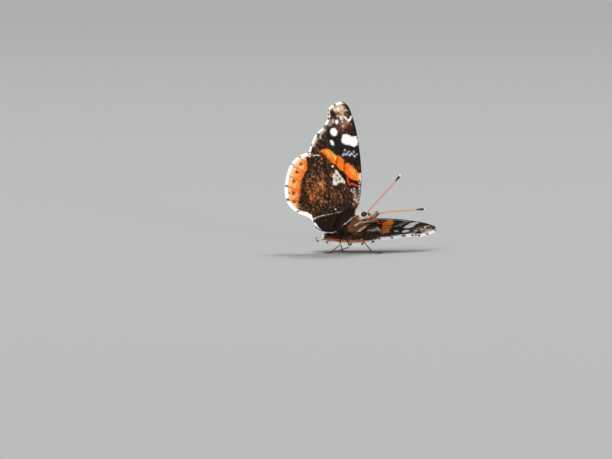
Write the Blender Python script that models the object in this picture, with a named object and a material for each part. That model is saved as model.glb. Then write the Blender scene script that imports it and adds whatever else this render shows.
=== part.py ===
"""Red admiral butterfly at life size, standing on four feet with its wings half open.

The body is drawn in its own frame in millimetres: x runs forward to the head, y to the
animal's left and z to its back. One empty then turns that frame to the tilted stance. The
four walking legs join hips in the body frame to feet in the floor frame, whose z is 0 at
the floor. The wings are drawn flat, as a distance forward along the hinge and a distance
outward from it, and are bent to shape by the functions below.
"""
import math

import bpy
import bmesh
import numpy as np
from mathutils import Euler, Matrix, Vector

MM = 0.001

# Stance: where the middle of the thorax is above the floor, and how the body is turned.
BODY_PLACE = (-2.085, -8.665, 8.75)
BODY_ROLL = -46.8
BODY_PITCH = -18.4
BODY_HEADING = -24.4

# Thorax, drawn out to the tips of its hair.
THORAX_REAR = -4.6
THORAX_FRONT = 2.45
THORAX_HALF_WIDTH = 2.3
THORAX_HALF_DEPTH = 2.8
THORAX_MIDDLE_Z = -0.1
THORAX_SLOPE = 0.07
THORAX_BLUNT = 3.0

# Head, eyes and palps.
HEAD_MIDDLE = (4.05, 0.0, 0.45)
HEAD_HALF = (1.3, 1.5, 1.6)
EYE_MIDDLE = (4.0, 1.2, 0.45)
EYE_HALF = (0.98, 0.72, 1.08)
PALP_BASE = (4.9, 0.5, -1.25)
PALP_BEND = (6.4, 0.52, -0.75)
PALP_TIP = (8.0, 0.4, 0.35)
PALP_RADIUS = 0.42

# Antennae: shaft and club.
ANTENNA_BASE = (5.1, 0.62, 1.75)
ANTENNA_MIDDLE = (12.1, 3.8, 2.92)
ANTENNA_TIP = (18.5, 6.93, 3.9)
SHAFT_RADIUS = 0.26
CLUB_RADIUS = 0.45
CLUB_LENGTH = 2.7

# Abdomen, raised between the hind wings.
ABDOMEN_FRONT = (-4.95, 0.0, 0.35)
ABDOMEN_TIP = (-12.3, 0.0, 4.0)
ABDOMEN_HALF_WIDTH = 1.8
ABDOMEN_HALF_DEPTH = 1.9

# Wings: the hinge starts beside the body and each wing plane rises from it.
HINGE_START = (0.0, 2.2, 2.35)
HINGE_DIP = 3.8
WING_RISE = 35.0
WING_THICK = 0.5
WING_ARCH = 0.56
WING_ARCH_FALL = 0.98
WING_TWIST = 0.037
WING_CUP = 0.34
CUP_CHORD = 10.0
ARCH_SPAN = 25.0
HINDWING_DROP = 0.85
HINDWING_LIFT = 1.4

# Flat outlines as (forward, outward), each side drawn from the root to the outer margin.
FOREWING_COSTA = [(1.7, -0.3), (2.9, 1.0), (4.6, 3.6), (6.1, 7.2), (7.4, 11.2), (8.5, 16.0), (9.3, 20.8),
                  (9.5, 24.8), (9.3, 27.6), (8.3, 29.4)]
FOREWING_OUTER = [(8.3, 29.4), (5.6, 29.5), (3.5, 28.6), (2.6, 26.6), (0.4, 24.4), (-2.2, 23.2),
                  (-4.4, 21.2), (-6.7, 18.4)]
FOREWING_INNER = [(-2.0, 0.2), (-3.6, 4.0), (-5.1, 9.5), (-6.3, 15.0), (-6.7, 18.4)]
HINDWING_COSTA = [(0.8, 0.9), (1.9, 2.6), (2.2, 5.2), (1.8, 8.4), (0.6, 11.8), (-1.0, 15.1), (-2.8, 17.3),
                  (-6.1, 18.7)]
HINDWING_OUTER = [(-6.1, 18.7), (-9.3, 18.4), (-12.4, 17.1), (-15.5, 14.0), (-17.5, 10.6), (-18.0, 7.4),
                  (-16.9, 4.9), (-14.6, 3.0), (-12.4, 1.7), (-11.5, 0.3), (-11.1, -1.2), (-10.2, -2.4)]
HINDWING_INNER = [(-0.6, 0.5), (-1.9, 0.3), (-3.0, -0.4), (-4.4, -1.4), (-6.2, -2.9), (-8.0, -3.3), (-10.2, -2.4)]

# The hind wing folds down along a line beside the abdomen and wraps under it.
FOLD_FRONT = (-2.1, 0.9)
FOLD_REAR = (-11.4, 1.3)
FLAP_WIDTH_FRONT = 4.4
FLAP_WIDTH_REAR = 3.6
FLAP_CLEARANCE = 0.62
FLAP_OVER_THORAX = 0.5
FLAP_END_ANGLE = -68.0
FOLD_RUN_IN = 1.5
FOLD_SOFTENING = 3
FOLD_ROUND = 1.6

# Folded forelegs on the breast.
FORELEG_POINTS = [(0.5, 1.15, -3.1), (1.8, 1.1, -2.8), (3.3, 1.0, -2.2), (4.5, 0.95, -2.05)]
FORELEG_RADII = [0.3, 0.5, 0.42, 0.3]

# Walking legs: hips in the body frame on the left side, then knees, ankles, toe joints and
# toes in the floor frame, measured from under the middle of the thorax.
MID_HIP = (-1.9, 1.25, -3.25)
HIND_HIP = (-3.75, 1.25, -2.75)
RIGHT_MID_STEPS = [(-1.0, -2.7, 2.0), (-4.1, 0.9, 0.87), (-6.2, 3.3, 0.18), (-7.6, 4.7, 0.18)]
RIGHT_HIND_STEPS = [(-3.4, -3.35, 2.75), (-5.45, 0.05, 1.0), (-6.9, 2.1, 0.18), (-7.7, 3.2, 0.18)]
LEFT_MID_STEPS = [(2.4, 0.8, 4.0), (5.0, 1.5, 0.87), (6.2, 1.8, 0.18), (8.0, 2.2, 0.18)]
LEFT_HIND_STEPS = [(-3.6, 3.7, 3.2), (-2.9, 7.6, 0.87), (-2.6, 8.9, 0.18), (-2.0, 11.0, 0.18)]
LEG_RADII = [0.33, 0.31, 0.27, 0.27, 0.27]

COLORS = {
    "thorax": ((0.42, 0.30, 0.22), 0.9),
    "head": ((0.38, 0.27, 0.20), 0.9),
    "abdomen": ((0.10, 0.07, 0.05), 0.9),
    "eye": ((0.05, 0.02, 0.015), 0.25),
    "palp": ((0.45, 0.28, 0.16), 0.9),
    "antenna": ((0.75, 0.35, 0.18), 0.6),
    "forewing": ((0.09, 0.06, 0.05), 0.8),
    "hindwing": ((0.16, 0.10, 0.07), 0.8),
    "foreleg": ((0.50, 0.38, 0.28), 0.9),
    "leg": ((0.12, 0.08, 0.06), 0.7),
}


def clear_scene():
    for item in list(bpy.data.objects):
        bpy.data.objects.remove(item, do_unlink=True)


def material(kind):
    """One Principled material for each kind of surface."""
    color, roughness = COLORS[kind]
    found = bpy.data.materials.get(kind)
    if found:
        return found
    made = bpy.data.materials.new(kind)
    made.use_nodes = True
    shader = made.node_tree.nodes["Principled BSDF"]
    shader.inputs["Base Color"].default_value = (*color, 1.0)
    shader.inputs["Roughness"].default_value = roughness
    shader.inputs["Metallic"].default_value = 0.0
    return made


def add_object(name, points, faces, kind, parent=None):
    """Make one closed mesh from points in millimetres, with its faces turned outward."""
    mesh = bpy.data.meshes.new(name)
    mesh.from_pydata([tuple(float(v) * MM for v in p) for p in points], [], faces)
    shell = bmesh.new()
    shell.from_mesh(mesh)
    bmesh.ops.recalc_face_normals(shell, faces=shell.faces)
    shell.to_mesh(mesh)
    shell.free()
    mesh.shade_smooth()
    mesh.set_sharp_from_angle(angle=math.radians(50))
    mesh.materials.append(material(kind))
    made = bpy.data.objects.new(name, mesh)
    bpy.context.collection.objects.link(made)
    made.parent = parent
    return made


def mirrored(point, side):
    return np.array(point, float) * (1.0, side, 1.0)


def smooth_curve(points, count):
    """Even samples of a cubic curve through the given points."""
    knots = np.array(points, float)
    spacing = np.linalg.norm(np.diff(knots, axis=0), axis=1)
    place = np.concatenate([[0.0], np.cumsum(spacing)])
    slopes = np.gradient(knots, place, axis=0)
    fine = np.linspace(0.0, place[-1], 400)
    part = np.clip(np.searchsorted(place, fine, side="right") - 1, 0, len(knots) - 2)
    width = spacing[part][:, None]
    t = (fine - place[part])[:, None] / width
    curve = ((2 * t**3 - 3 * t**2 + 1) * knots[part] + (t**3 - 2 * t**2 + t) * width * slopes[part]
             + (3 * t**2 - 2 * t**3) * knots[part + 1] + (t**3 - t**2) * width * slopes[part + 1])
    length = np.concatenate([[0.0], np.cumsum(np.linalg.norm(np.diff(curve, axis=0), axis=1))])
    even = np.linspace(0.0, length[-1], count)
    return np.stack([np.interp(even, length, curve[:, k]) for k in range(knots.shape[1])], 1)


def ring_faces(rings, sides):
    """Quads between rings of points, with a fan at each end around a pole point."""
    faces = []
    for i in range(rings - 1):
        for j in range(sides):
            k = (j + 1) % sides
            faces.append((i * sides + j, i * sides + k, (i + 1) * sides + k, (i + 1) * sides + j))
    first, last = rings * sides, rings * sides + 1
    for j in range(sides):
        k = (j + 1) % sides
        faces.append((first, k, j))
        faces.append((last, (rings - 1) * sides + j, (rings - 1) * sides + k))
    return faces


def loft(name, rings, poles, kind, parent):
    rings = np.array(rings)
    count, sides = rings.shape[:2]
    points = np.concatenate([rings.reshape(-1, 3), np.array(poles)])
    return add_object(name, points, ring_faces(count, sides), kind, parent)


def rounded_ring(half_width, half_depth, sides, power=2.4):
    """A closed section between an ellipse and a rectangle, as (sideways, up) pairs."""
    turn = np.arange(sides) * 2 * math.pi / sides
    side, up = np.cos(turn), np.sin(turn)
    return np.stack([half_width * np.sign(side) * np.abs(side)**(2 / power),
                     half_depth * np.sign(up) * np.abs(up)**(2 / power)], 1)


def tube(path, radii, sides):
    """Rings of a round tube along a path, kept free of twist."""
    path = np.array(path, float)
    ahead = np.gradient(path, axis=0)
    ahead /= np.linalg.norm(ahead, axis=1)[:, None]
    across = np.cross(ahead[0], (0.0, 0.0, 1.0))
    rings = []
    turn = np.arange(sides) * 2 * math.pi / sides
    for point, direction, radius in zip(path, ahead, radii):
        across = across - direction * (across @ direction)
        across /= np.linalg.norm(across)
        upward = np.cross(across, direction)
        rings.append(point + radius * (np.cos(turn)[:, None] * across
                                       + np.sin(turn)[:, None] * upward))
    return np.array(rings), path[0] - ahead[0] * radii[0] * 0.6, path[-1] + ahead[-1] * radii[-1] * 0.6


def make_thorax(parent):
    """A barrel that is blunt in front and rounder behind."""
    stations = np.sin(np.linspace(-0.46, 0.46, 15) * math.pi)
    middle, half = (THORAX_FRONT + THORAX_REAR) / 2, (THORAX_FRONT - THORAX_REAR) / 2
    rings = []
    for place in stations:
        swell = (1 - abs(place)**THORAX_BLUNT)**(1 / THORAX_BLUNT)
        section = rounded_ring(THORAX_HALF_WIDTH * swell, THORAX_HALF_DEPTH * swell, 24)
        x = middle + half * place
        rings.append([(x, y, THORAX_MIDDLE_Z + THORAX_SLOPE * x + z) for y, z in section])
    poles = [(x, 0, THORAX_MIDDLE_Z + THORAX_SLOPE * x) for x in (THORAX_REAR, THORAX_FRONT)]
    return loft("thorax", rings, poles, "thorax", parent)


def ellipsoid(name, middle, half, rings, sides, kind, parent):
    """A ball whose poles lie fore and aft."""
    turns = np.linspace(0, math.pi, rings + 2)[1:-1]
    around = np.arange(sides) * 2 * math.pi / sides
    bands = [[(middle[0] - half[0] * math.cos(t), middle[1] + half[1] * math.sin(t) * math.cos(a),
               middle[2] + half[2] * math.sin(t) * math.sin(a)) for a in around] for t in turns]
    poles = [(middle[0] - half[0], middle[1], middle[2]), (middle[0] + half[0], middle[1], middle[2])]
    return loft(name, bands, poles, kind, parent)


def make_head(parent):
    """The head with a socket sunk into each side for the eye."""
    head = ellipsoid("head", HEAD_MIDDLE, HEAD_HALF, 12, 20, "head", parent)
    for side, word in ((1, "left"), (-1, "right")):
        eye_middle = mirrored(EYE_MIDDLE, side)
        ellipsoid("eye_" + word, eye_middle, EYE_HALF, 9, 14, "eye", parent)
        socket = ellipsoid("socket_" + word, eye_middle, np.array(EYE_HALF) + 0.2, 9, 14, "eye", parent)
        socket.hide_render = True
        socket.display_type = "WIRE"
        cut = head.modifiers.new("socket_" + word, "BOOLEAN")
        cut.operation = "DIFFERENCE"
        cut.solver = "EXACT"
        cut.object = socket


def make_abdomen(parent):
    """A spindle, thickest a third of the way back."""
    start, end = np.array(ABDOMEN_FRONT), np.array(ABDOMEN_TIP)
    ahead = (end - start) / np.linalg.norm(end - start)
    upward = np.array((ahead[2], 0.0, -ahead[0]))
    rings = []
    for place in 0.5 - 0.5 * np.cos(np.linspace(0.05, 0.96, 14) * math.pi):
        swell = (1 - abs(2 * place**0.8 - 1)**2.5)**(1 / 2.1)
        section = rounded_ring(ABDOMEN_HALF_WIDTH * swell, ABDOMEN_HALF_DEPTH * swell, 18, 2.0)
        rings.append([start + ahead * place * np.linalg.norm(end - start)
                      + np.array((0, y, 0)) + upward * z for y, z in section])
    return loft("abdomen", rings, [start, end], "abdomen", parent)


def make_palps(parent):
    for side, word in ((1, "left"), (-1, "right")):
        path = smooth_curve([mirrored(p, side) for p in (PALP_BASE, PALP_BEND, PALP_TIP)], 8)
        radii = PALP_RADIUS * (1 - 0.4 * np.linspace(0, 1, 8)**2)
        rings, first, last = tube(path, radii, 8)
        loft("palp_" + word, rings, [first, last], "palp", parent)


def make_antennae(parent):
    """A thin shaft that swells smoothly into the club near its end."""
    for side, word in ((1, "left"), (-1, "right")):
        path = smooth_curve([mirrored(p, side) for p in (ANTENNA_BASE, ANTENNA_MIDDLE, ANTENNA_TIP)], 22)
        to_tip = np.linalg.norm(path - path[-1], axis=1)
        swell = np.clip(1.15 - to_tip / CLUB_LENGTH, 0, 1)
        swell = swell**2 * (3 - 2 * swell)
        rings, first, last = tube(path, SHAFT_RADIUS + (CLUB_RADIUS - SHAFT_RADIUS) * swell, 8)
        loft("antenna_" + word, rings, [first, last], "antenna", parent)


def patch(lead, inner, outer, across_count, along_count):
    """Flat grid filled between a leading edge, an inner edge, a root line and an outer margin."""
    lead = smooth_curve(lead, along_count)
    inner = smooth_curve(inner, along_count)
    outer = smooth_curve(outer, across_count)
    root = np.linspace(lead[0], inner[0], across_count)
    u = np.linspace(0, 1, along_count)[:, None, None]
    v = np.linspace(0, 1, across_count)[None, :, None]
    return ((1 - v) * lead[:, None] + v * inner[:, None] + (1 - u) * root[None] + u * outer[None]
            - (1 - u) * (1 - v) * lead[0] - (1 - u) * v * inner[0]
            - u * (1 - v) * lead[-1] - u * v * inner[-1])


def wing_axes():
    """Unit vectors along the hinge, outward along the left wing, and up from it."""
    dip, rise = math.radians(HINGE_DIP), math.radians(WING_RISE)
    along = np.array((math.cos(dip), 0.0, -math.sin(dip)))
    up = np.array((math.sin(dip), 0.0, math.cos(dip)))
    out = np.array((0.0, math.cos(rise), 0.0)) + up * math.sin(rise)
    return along, out, np.cross(along, out)


def blade_point(flat, lift):
    """Flat wing coordinates to the body frame, with the arch and twist of the wing."""
    along, out, normal = wing_axes()
    forward, outward = flat[..., 0], flat[..., 1]
    part = outward / ARCH_SPAN
    rise = (lift + WING_ARCH * part - WING_ARCH_FALL * part**2 + WING_TWIST * forward * part
            + WING_CUP * (forward / CUP_CHORD)**2 * part)
    return (np.array(HINGE_START) + forward[..., None] * along + outward[..., None] * out
            + rise[..., None] * normal)


def hindwing_lift(flat):
    """The hind wing lies under the fore wing and curls up towards its rear edge."""
    back = np.clip((-flat[..., 0] - 5.0) / 12.0, 0, 1)
    return HINDWING_LIFT * back**2 - HINDWING_DROP


def fold_line(forward):
    """How far out the fold of the hind wing lies."""
    slope = (FOLD_REAR[1] - FOLD_FRONT[1]) / (FOLD_REAR[0] - FOLD_FRONT[0])
    return FOLD_FRONT[1] + slope * (forward - FOLD_FRONT[0])


def hindwing_point(flat):
    """The blade outside the fold, and inside it a flap that winds round the abdomen."""
    forward, outward = flat[..., 0], flat[..., 1]
    fold = fold_line(forward)
    blade = blade_point(flat, hindwing_lift(flat))
    on_fold = np.stack([forward, fold], -1)
    edge = blade_point(on_fold, hindwing_lift(on_fold))
    start, end = np.array(ABDOMEN_FRONT), np.array(ABDOMEN_TIP)
    back = np.clip((edge[..., 0] - start[0]) / (end[0] - start[0]), -0.3, 1)
    middle_z = start[2] + back * (end[2] - start[2])
    over_thorax = np.clip(-back / 0.25, 0, 1)
    radius = (ABDOMEN_HALF_DEPTH * (1 - 0.3 * np.clip(back, 0, 1)**2) + FLAP_CLEARANCE
              + FLAP_OVER_THORAX * over_thorax)
    width = FLAP_WIDTH_FRONT + (FLAP_WIDTH_REAR - FLAP_WIDTH_FRONT) * np.clip(back, 0, 1)
    wound = np.clip((fold - outward) / width, 0, 1.2)
    first_turn = np.arctan2(edge[..., 2] - middle_z, edge[..., 1])
    first_radius = np.hypot(edge[..., 2] - middle_z, edge[..., 1])
    turn = first_turn + (math.radians(FLAP_END_ANGLE) - first_turn) * wound
    reach = radius + (first_radius - radius) * np.clip(1 - wound, 0, 1)**2
    flap = np.stack([edge[..., 0], reach * np.cos(turn), middle_z + reach * np.sin(turn)], -1)
    folded = np.clip((FOLD_FRONT[0] - forward) / FOLD_RUN_IN, 0, 1)
    folded = (folded**2 * (3 - 2 * folded))[..., None]
    return np.where((outward < fold)[..., None], blade + (flap - blade) * folded, blade)


def soften_fold(surface, flat):
    """Rounds the fold: points near it go halfway to the middle of their neighbours across the wing."""
    surface = surface.copy()
    apart = np.abs(flat[..., 1] - fold_line(flat[..., 0]))
    share = (0.5 * np.clip(1.5 - apart / FOLD_ROUND, 0, 1))[:, 1:-1, None]
    for _ in range(FOLD_SOFTENING):
        middle = (surface[:, :-2] + surface[:, 2:]) / 2
        surface[:, 1:-1] += share * (middle - surface[:, 1:-1])
    return surface


def make_wing(name, surface, side, kind, parent):
    """A closed plate of even thickness on both sides of a curved surface."""
    rows, columns = surface.shape[:2]
    surface = surface * (1.0, side, 1.0)
    normal = np.cross(np.gradient(surface, axis=0), np.gradient(surface, axis=1))
    normal /= np.linalg.norm(normal, axis=2)[..., None]
    upper = (surface + normal * WING_THICK / 2).reshape(-1, 3)
    lower = (surface - normal * WING_THICK / 2).reshape(-1, 3)
    index = np.arange(rows * columns).reshape(rows, columns)
    faces = []
    for i in range(rows - 1):
        for j in range(columns - 1):
            a, b = int(index[i, j]), int(index[i, j + 1])
            c, d = int(index[i + 1, j + 1]), int(index[i + 1, j])
            faces += [(a, b, c), (a, c, d)]
            shift = rows * columns
            faces += [(a + shift, c + shift, b + shift), (a + shift, d + shift, c + shift)]
    rim = [*index[0, :], *index[1:, -1], *index[-1, -2::-1], *index[-2:0:-1, 0]]
    for a, b in zip(rim, rim[1:] + rim[:1]):
        a, b, shift = int(a), int(b), rows * columns
        faces += [(b, a, a + shift), (b, a + shift, b + shift)]
    return add_object(name, np.concatenate([upper, lower]), faces, kind, parent)


def make_wings(parent):
    fore = patch(FOREWING_COSTA, FOREWING_INNER, FOREWING_OUTER, 12, 17)
    hind = patch(HINDWING_COSTA, HINDWING_INNER, HINDWING_OUTER, 21, 15)
    for side, word in ((1, "left"), (-1, "right")):
        make_wing("forewing_" + word, blade_point(fore, 0.0), side, "forewing", parent)
        make_wing("hindwing_" + word, soften_fold(hindwing_point(hind), hind), side, "hindwing", parent)


def make_forelegs(parent):
    """The short folded forelegs lie along the breast and do not touch the floor."""
    for side, word in ((1, "left"), (-1, "right")):
        path = smooth_curve([mirrored(p, side) for p in FORELEG_POINTS], 9)
        radii = np.interp(np.linspace(0, 1, 9), np.linspace(0, 1, len(FORELEG_RADII)), FORELEG_RADII)
        rings, first, last = tube(path, radii, 8)
        loft("foreleg_" + word, rings, [first, last], "foreleg", parent)


def leg_path(corners):
    """Straight leg segments with points close to each joint, so that joints stay tight."""
    points = [corners[0]]
    for before, joint, after in zip(corners, corners[1:], corners[2:]):
        for neighbour in (before, after):
            ahead = (neighbour - joint) / np.linalg.norm(neighbour - joint)
            points.append(joint + ahead * 0.32)
    points.append(corners[-1])
    return np.array(points)


def make_leg(name, hip, steps, turned):
    """Thigh, shin and foot as one tube, with the underside of the foot flat on the floor."""
    hip_on_floor = np.array(turned @ Vector(hip)) + np.array(BODY_PLACE)
    base = np.array((BODY_PLACE[0], BODY_PLACE[1], 0.0))
    corners = [hip_on_floor] + [base + np.array(step) for step in steps]
    path = leg_path(corners)
    radii = np.interp(np.linspace(0, 1, len(path)), np.linspace(0, 1, len(LEG_RADII)), LEG_RADII)
    rings, first, last = tube(path, radii, 8)
    last = np.array((last[0], last[1], rings[-1][:, 2].mean()))
    points = np.concatenate([rings.reshape(-1, 3), [first, last]])
    points[:, 2] = np.maximum(points[:, 2], 0.0)
    return add_object(name, points, ring_faces(len(path), 8), "leg")


def make_walking_legs(turned):
    for word, side, middle_steps, rear_steps in (("right", -1, RIGHT_MID_STEPS, RIGHT_HIND_STEPS),
                                                 ("left", 1, LEFT_MID_STEPS, LEFT_HIND_STEPS)):
        make_leg("midleg_" + word, mirrored(MID_HIP, side), middle_steps, turned)
        make_leg("hindleg_" + word, mirrored(HIND_HIP, side), rear_steps, turned)


def main():
    clear_scene()
    angles = [math.radians(angle) for angle in (BODY_ROLL, BODY_PITCH, BODY_HEADING)]
    turned = Euler(angles).to_matrix()
    stance = bpy.data.objects.new("stance", None)
    bpy.context.collection.objects.link(stance)
    stance.matrix_world = Matrix.Translation(Vector(BODY_PLACE) * MM) @ turned.to_4x4()
    make_thorax(stance)
    make_head(stance)
    make_abdomen(stance)
    make_palps(stance)
    make_antennae(stance)
    make_wings(stance)
    make_forelegs(stance)
    make_walking_legs(turned)


main()
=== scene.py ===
import math

import bpy
import numpy as np
from mathutils import Euler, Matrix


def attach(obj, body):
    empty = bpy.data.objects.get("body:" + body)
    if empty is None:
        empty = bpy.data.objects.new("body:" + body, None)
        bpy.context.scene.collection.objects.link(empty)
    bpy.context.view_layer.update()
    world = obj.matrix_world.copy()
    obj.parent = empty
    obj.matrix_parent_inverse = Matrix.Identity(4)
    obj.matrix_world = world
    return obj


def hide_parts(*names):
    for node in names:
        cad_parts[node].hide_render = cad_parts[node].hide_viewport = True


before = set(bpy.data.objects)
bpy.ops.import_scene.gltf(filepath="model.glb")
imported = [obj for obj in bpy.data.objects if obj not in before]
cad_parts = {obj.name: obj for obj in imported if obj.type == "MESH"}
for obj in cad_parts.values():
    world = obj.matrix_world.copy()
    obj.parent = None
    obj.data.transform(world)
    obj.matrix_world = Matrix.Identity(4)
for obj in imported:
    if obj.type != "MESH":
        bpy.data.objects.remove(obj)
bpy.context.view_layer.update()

mm = 0.001
fullTurn = 2 * math.pi
dice = np.random.default_rng(26)
bothSides = ((1, "left"), (-1, "right"))  # the sign of y on each side of the animal

# How the body stands: the middle of the thorax over the floor in mm, then roll, pitch and heading in degrees.
stance = {"place": (-2.085, -8.665, 8.75), "turn": (-46.8, -18.4, -24.4)}
bodyTurn = np.array(Euler(np.radians(stance["turn"])).to_matrix())
bodyPlace = np.array(stance["place"])


def toFloor(points):  # body frame in mm to the floor frame in metres
    return (points @ bodyTurn.T + bodyPlace) * mm


def unit(vectors):  # each vector divided by its own length
    return vectors / np.maximum(np.linalg.norm(vectors, axis=-1, keepdims=True), 1e-12)


def ease(low, high, value):  # 0 below low, 1 above high and an S curve between
    part = np.clip((value - low) / (high - low), 0, 1)
    return part * part * (3 - 2 * part)


def hill(value, width):  # 1 at zero, falling away on both sides as a bell
    return np.exp(-(value / width)**2)


def mirrored(points, side):  # side is 1 for the animal's left and -1 for its right
    return np.asarray(points, float) * (1.0, side, 1.0)


def curveThrough(points):
    # A cubic curve through the points, read by its share of length: 0 is the start and 1 the end.
    knots = np.array(points, float)
    spacing = np.linalg.norm(np.diff(knots, axis=0), axis=1)
    place = np.concatenate([[0.0], np.cumsum(spacing)])
    slopes = np.gradient(knots, place, axis=0)
    fine = np.linspace(0.0, place[-1], 400)
    part = np.clip(np.searchsorted(place, fine, side="right") - 1, 0, len(knots) - 2)
    width = spacing[part][:, None]
    t = (fine - place[part])[:, None] / width
    curve = ((2 * t**3 - 3 * t**2 + 1) * knots[part] + (t**3 - 2 * t**2 + t) * width * slopes[part]
             + (3 * t**2 - 2 * t**3) * knots[part + 1] + (t**3 - t**2) * width * slopes[part + 1])
    length = np.concatenate([[0.0], np.cumsum(np.linalg.norm(np.diff(curve, axis=0), axis=1))])

    def at(share):
        reach = np.asarray(share) * length[-1]
        return np.stack([np.interp(reach, length, curve[:, k]) for k in range(knots.shape[1])], -1)

    return at


def evenly(points, count):  # so many places along the curve through the points
    return curveThrough(points)(np.linspace(0, 1, count))


def readGrid(grid, u, v):
    # Bilinear reading of a grid of points at u along its rows and v along its columns, both 0 to 1.
    rows, columns = grid.shape[0] - 1, grid.shape[1] - 1
    x, y = np.clip(u, 0, 1) * rows, np.clip(v, 0, 1) * columns
    i, j = np.minimum(x.astype(int), rows - 1), np.minimum(y.astype(int), columns - 1)
    x, y = (x - i)[:, None], (y - j)[:, None]
    return ((grid[i, j] * (1 - x) + grid[i + 1, j] * x) * (1 - y)
            + (grid[i, j + 1] * (1 - x) + grid[i + 1, j + 1] * x) * y)


def gridNormals(grid):  # the cross product of the steps along the rows and the columns
    return unit(np.cross(np.gradient(grid, axis=0), np.gradient(grid, axis=1)))


def enclosed(points, faceSets):  # six times the volume inside the faces, negative where they face inward
    total = 0.0
    for faces in faceSets:
        for k in range(1, faces.shape[1] - 1):
            a, b, c = points[faces[:, 0]], points[faces[:, k]], points[faces[:, k + 1]]
            total += np.einsum("ij,ij->i", a, np.cross(b, c)).sum()
    return total


def addPiece(name, points, faceSets, finishes, nodes=(), values=None, uvSets=None, faceFinish=None,
             smooth=True):
    # Points in mm in the body frame, faces as arrays of vertex numbers, values as one array a point for each
    # attribute. All faces are turned round where they enclose a negative volume.
    if enclosed(points, faceSets) < 0:
        faceSets, uvSets = ([grid[:, ::-1] for grid in sets] if sets else None for sets in (faceSets, uvSets))
    corners = np.concatenate([faces.ravel() for faces in faceSets]).astype(np.int32)
    sizes = np.concatenate([np.full(len(faces), faces.shape[1]) for faces in faceSets])
    mesh = bpy.data.meshes.new(name)
    mesh.vertices.add(len(points))
    mesh.vertices.foreach_set("co", toFloor(points).astype(np.float32).ravel())
    mesh.loops.add(len(corners))
    mesh.loops.foreach_set("vertex_index", corners)
    mesh.polygons.add(len(sizes))
    mesh.polygons.foreach_set("loop_start", np.concatenate([[0], np.cumsum(sizes)[:-1]]).astype(np.int32))
    mesh.update(calc_edges=True)
    for finish in finishes:
        mesh.materials.append(finish)
    if faceFinish is not None:
        mesh.polygons.foreach_set("material_index", np.asarray(faceFinish, np.int32))
    if uvSets:
        uv = np.concatenate([grid.reshape(-1, 2) for grid in uvSets]).astype(np.float32)
        mesh.uv_layers.new(name="OFBake").data.foreach_set("uv", uv.ravel())
    for key, array in (values or {}).items():
        kind, field = ("FLOAT_VECTOR", "vector") if np.ndim(array) == 2 else ("FLOAT", "value")
        mesh.attributes.new(key, kind, "POINT").data.foreach_set(field, np.asarray(array, np.float32).ravel())
    mesh.polygons.foreach_set("use_smooth", np.full(len(sizes), smooth))
    piece = bpy.data.objects.new(name, mesh)
    bpy.context.collection.objects.link(piece)
    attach(piece, "root")
    if nodes:
        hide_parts(*nodes)


def ringFaces(rings, sides):
    # Quads between rings of points, closed at each end by a fan round a pole, the last two points.
    i, j = np.meshgrid(np.arange(rings - 1), np.arange(sides), indexing="ij")
    k = (j + 1) % sides
    this, following = i * sides, (i + 1) * sides
    quads = np.stack([this + j, this + k, following + k, following + j], -1).reshape(-1, 4)
    j = np.arange(sides)
    k, top = (j + 1) % sides, (rings - 1) * sides
    fans = np.concatenate([np.stack([np.full(sides, rings * sides), k, j], -1),
                           np.stack([np.full(sides, rings * sides + 1), top + j, top + k], -1)])
    return [quads, fans]


def ringPiece(name, rings, finish, nodes, grids):
    # A closed surface through rings of points, its ends drawn to the middle of the end rings.
    points = np.concatenate([rings.reshape(-1, 3), [rings[0].mean(0), rings[-1].mean(0)]])
    values = {key: np.concatenate([grid.ravel(), grid[:1, 0], grid[-1:, 0]]) for key, grid in grids.items()}
    addPiece(name, points, ringFaces(*rings.shape[:2]), [finish], nodes, values)


def tubeRings(path, radii, sides):  # circles carried along a path without twist
    ahead = unit(np.gradient(path, axis=0))
    first = np.cross(ahead[0], (0.0, 0.0, 1.0) if abs(ahead[0][2]) < 0.9 else (1.0, 0.0, 0.0))
    across = unit(first - ahead * (ahead @ first)[:, None])
    above = np.cross(across, ahead)
    turn = (np.arange(sides) * fullTurn / sides)[None, :, None]
    ring = np.cos(turn) * across[:, None] + np.sin(turn) * above[:, None]
    return path[:, None] + radii[:, None, None] * ring


bake = {"edge": 0.002, "spread": 0.993, "patch": 0.003}  # the map of a coat: margin, room for roots, one tuft


def addVanes(name, coat, roots, along, above, length, rootUv, finish, values, smooth=True):
    # Thin three-sided vanes as one mesh. Each runs from its root along its own direction, bends by the square
    # of the way out and has a width at every station. On the map it is a small patch at its root's place.
    count, stations = len(roots), np.linspace(0, 1, len(coat["widths"]))
    t, share = stations[None, :, None], np.array(coat["widths"])[None, :, None]
    across = unit(np.cross(along, above))
    above = np.cross(across, along)[:, None]
    length = length[:, None, None]
    middle = roots[:, None] + along[:, None] * length * t + above * length * coat["bend"] * t * t
    rise = above * coat["thick"] * np.minimum(share * 1.5, 1.0)
    half = across[:, None] * coat["width"] * share / 2
    corners = [middle - half - rise / 3, middle + half - rise / 3, middle + rise * 2 / 3]
    points = np.stack(corners, 2).reshape(-1, 3)
    step = len(stations) * 3
    vane = [ringFaces(len(stations), 3)[0], np.array([[0, 2, 1], [step - 3, step - 2, step - 1]])]
    shift = (np.arange(count) * step)[:, None, None]
    faceSets = [(faces[None] + shift).reshape(-1, faces.shape[1]) for faces in vane]
    cornerUv = np.stack([np.tile([0.0, 1.0, 0.5], len(stations)), np.repeat(stations, 3)], -1)
    uv = (bake["edge"] + bake["spread"] * rootUv[:, None] + bake["patch"] * cornerUv[None]).reshape(-1, 2)
    values = {key: np.repeat(array, step) for key, array in values.items()}
    values["outward"] = np.tile(cornerUv[:, 1], count)
    addPiece(name, points, faceSets, [finish], (), values, [uv[faces] for faces in faceSets],
             smooth=smooth)


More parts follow.
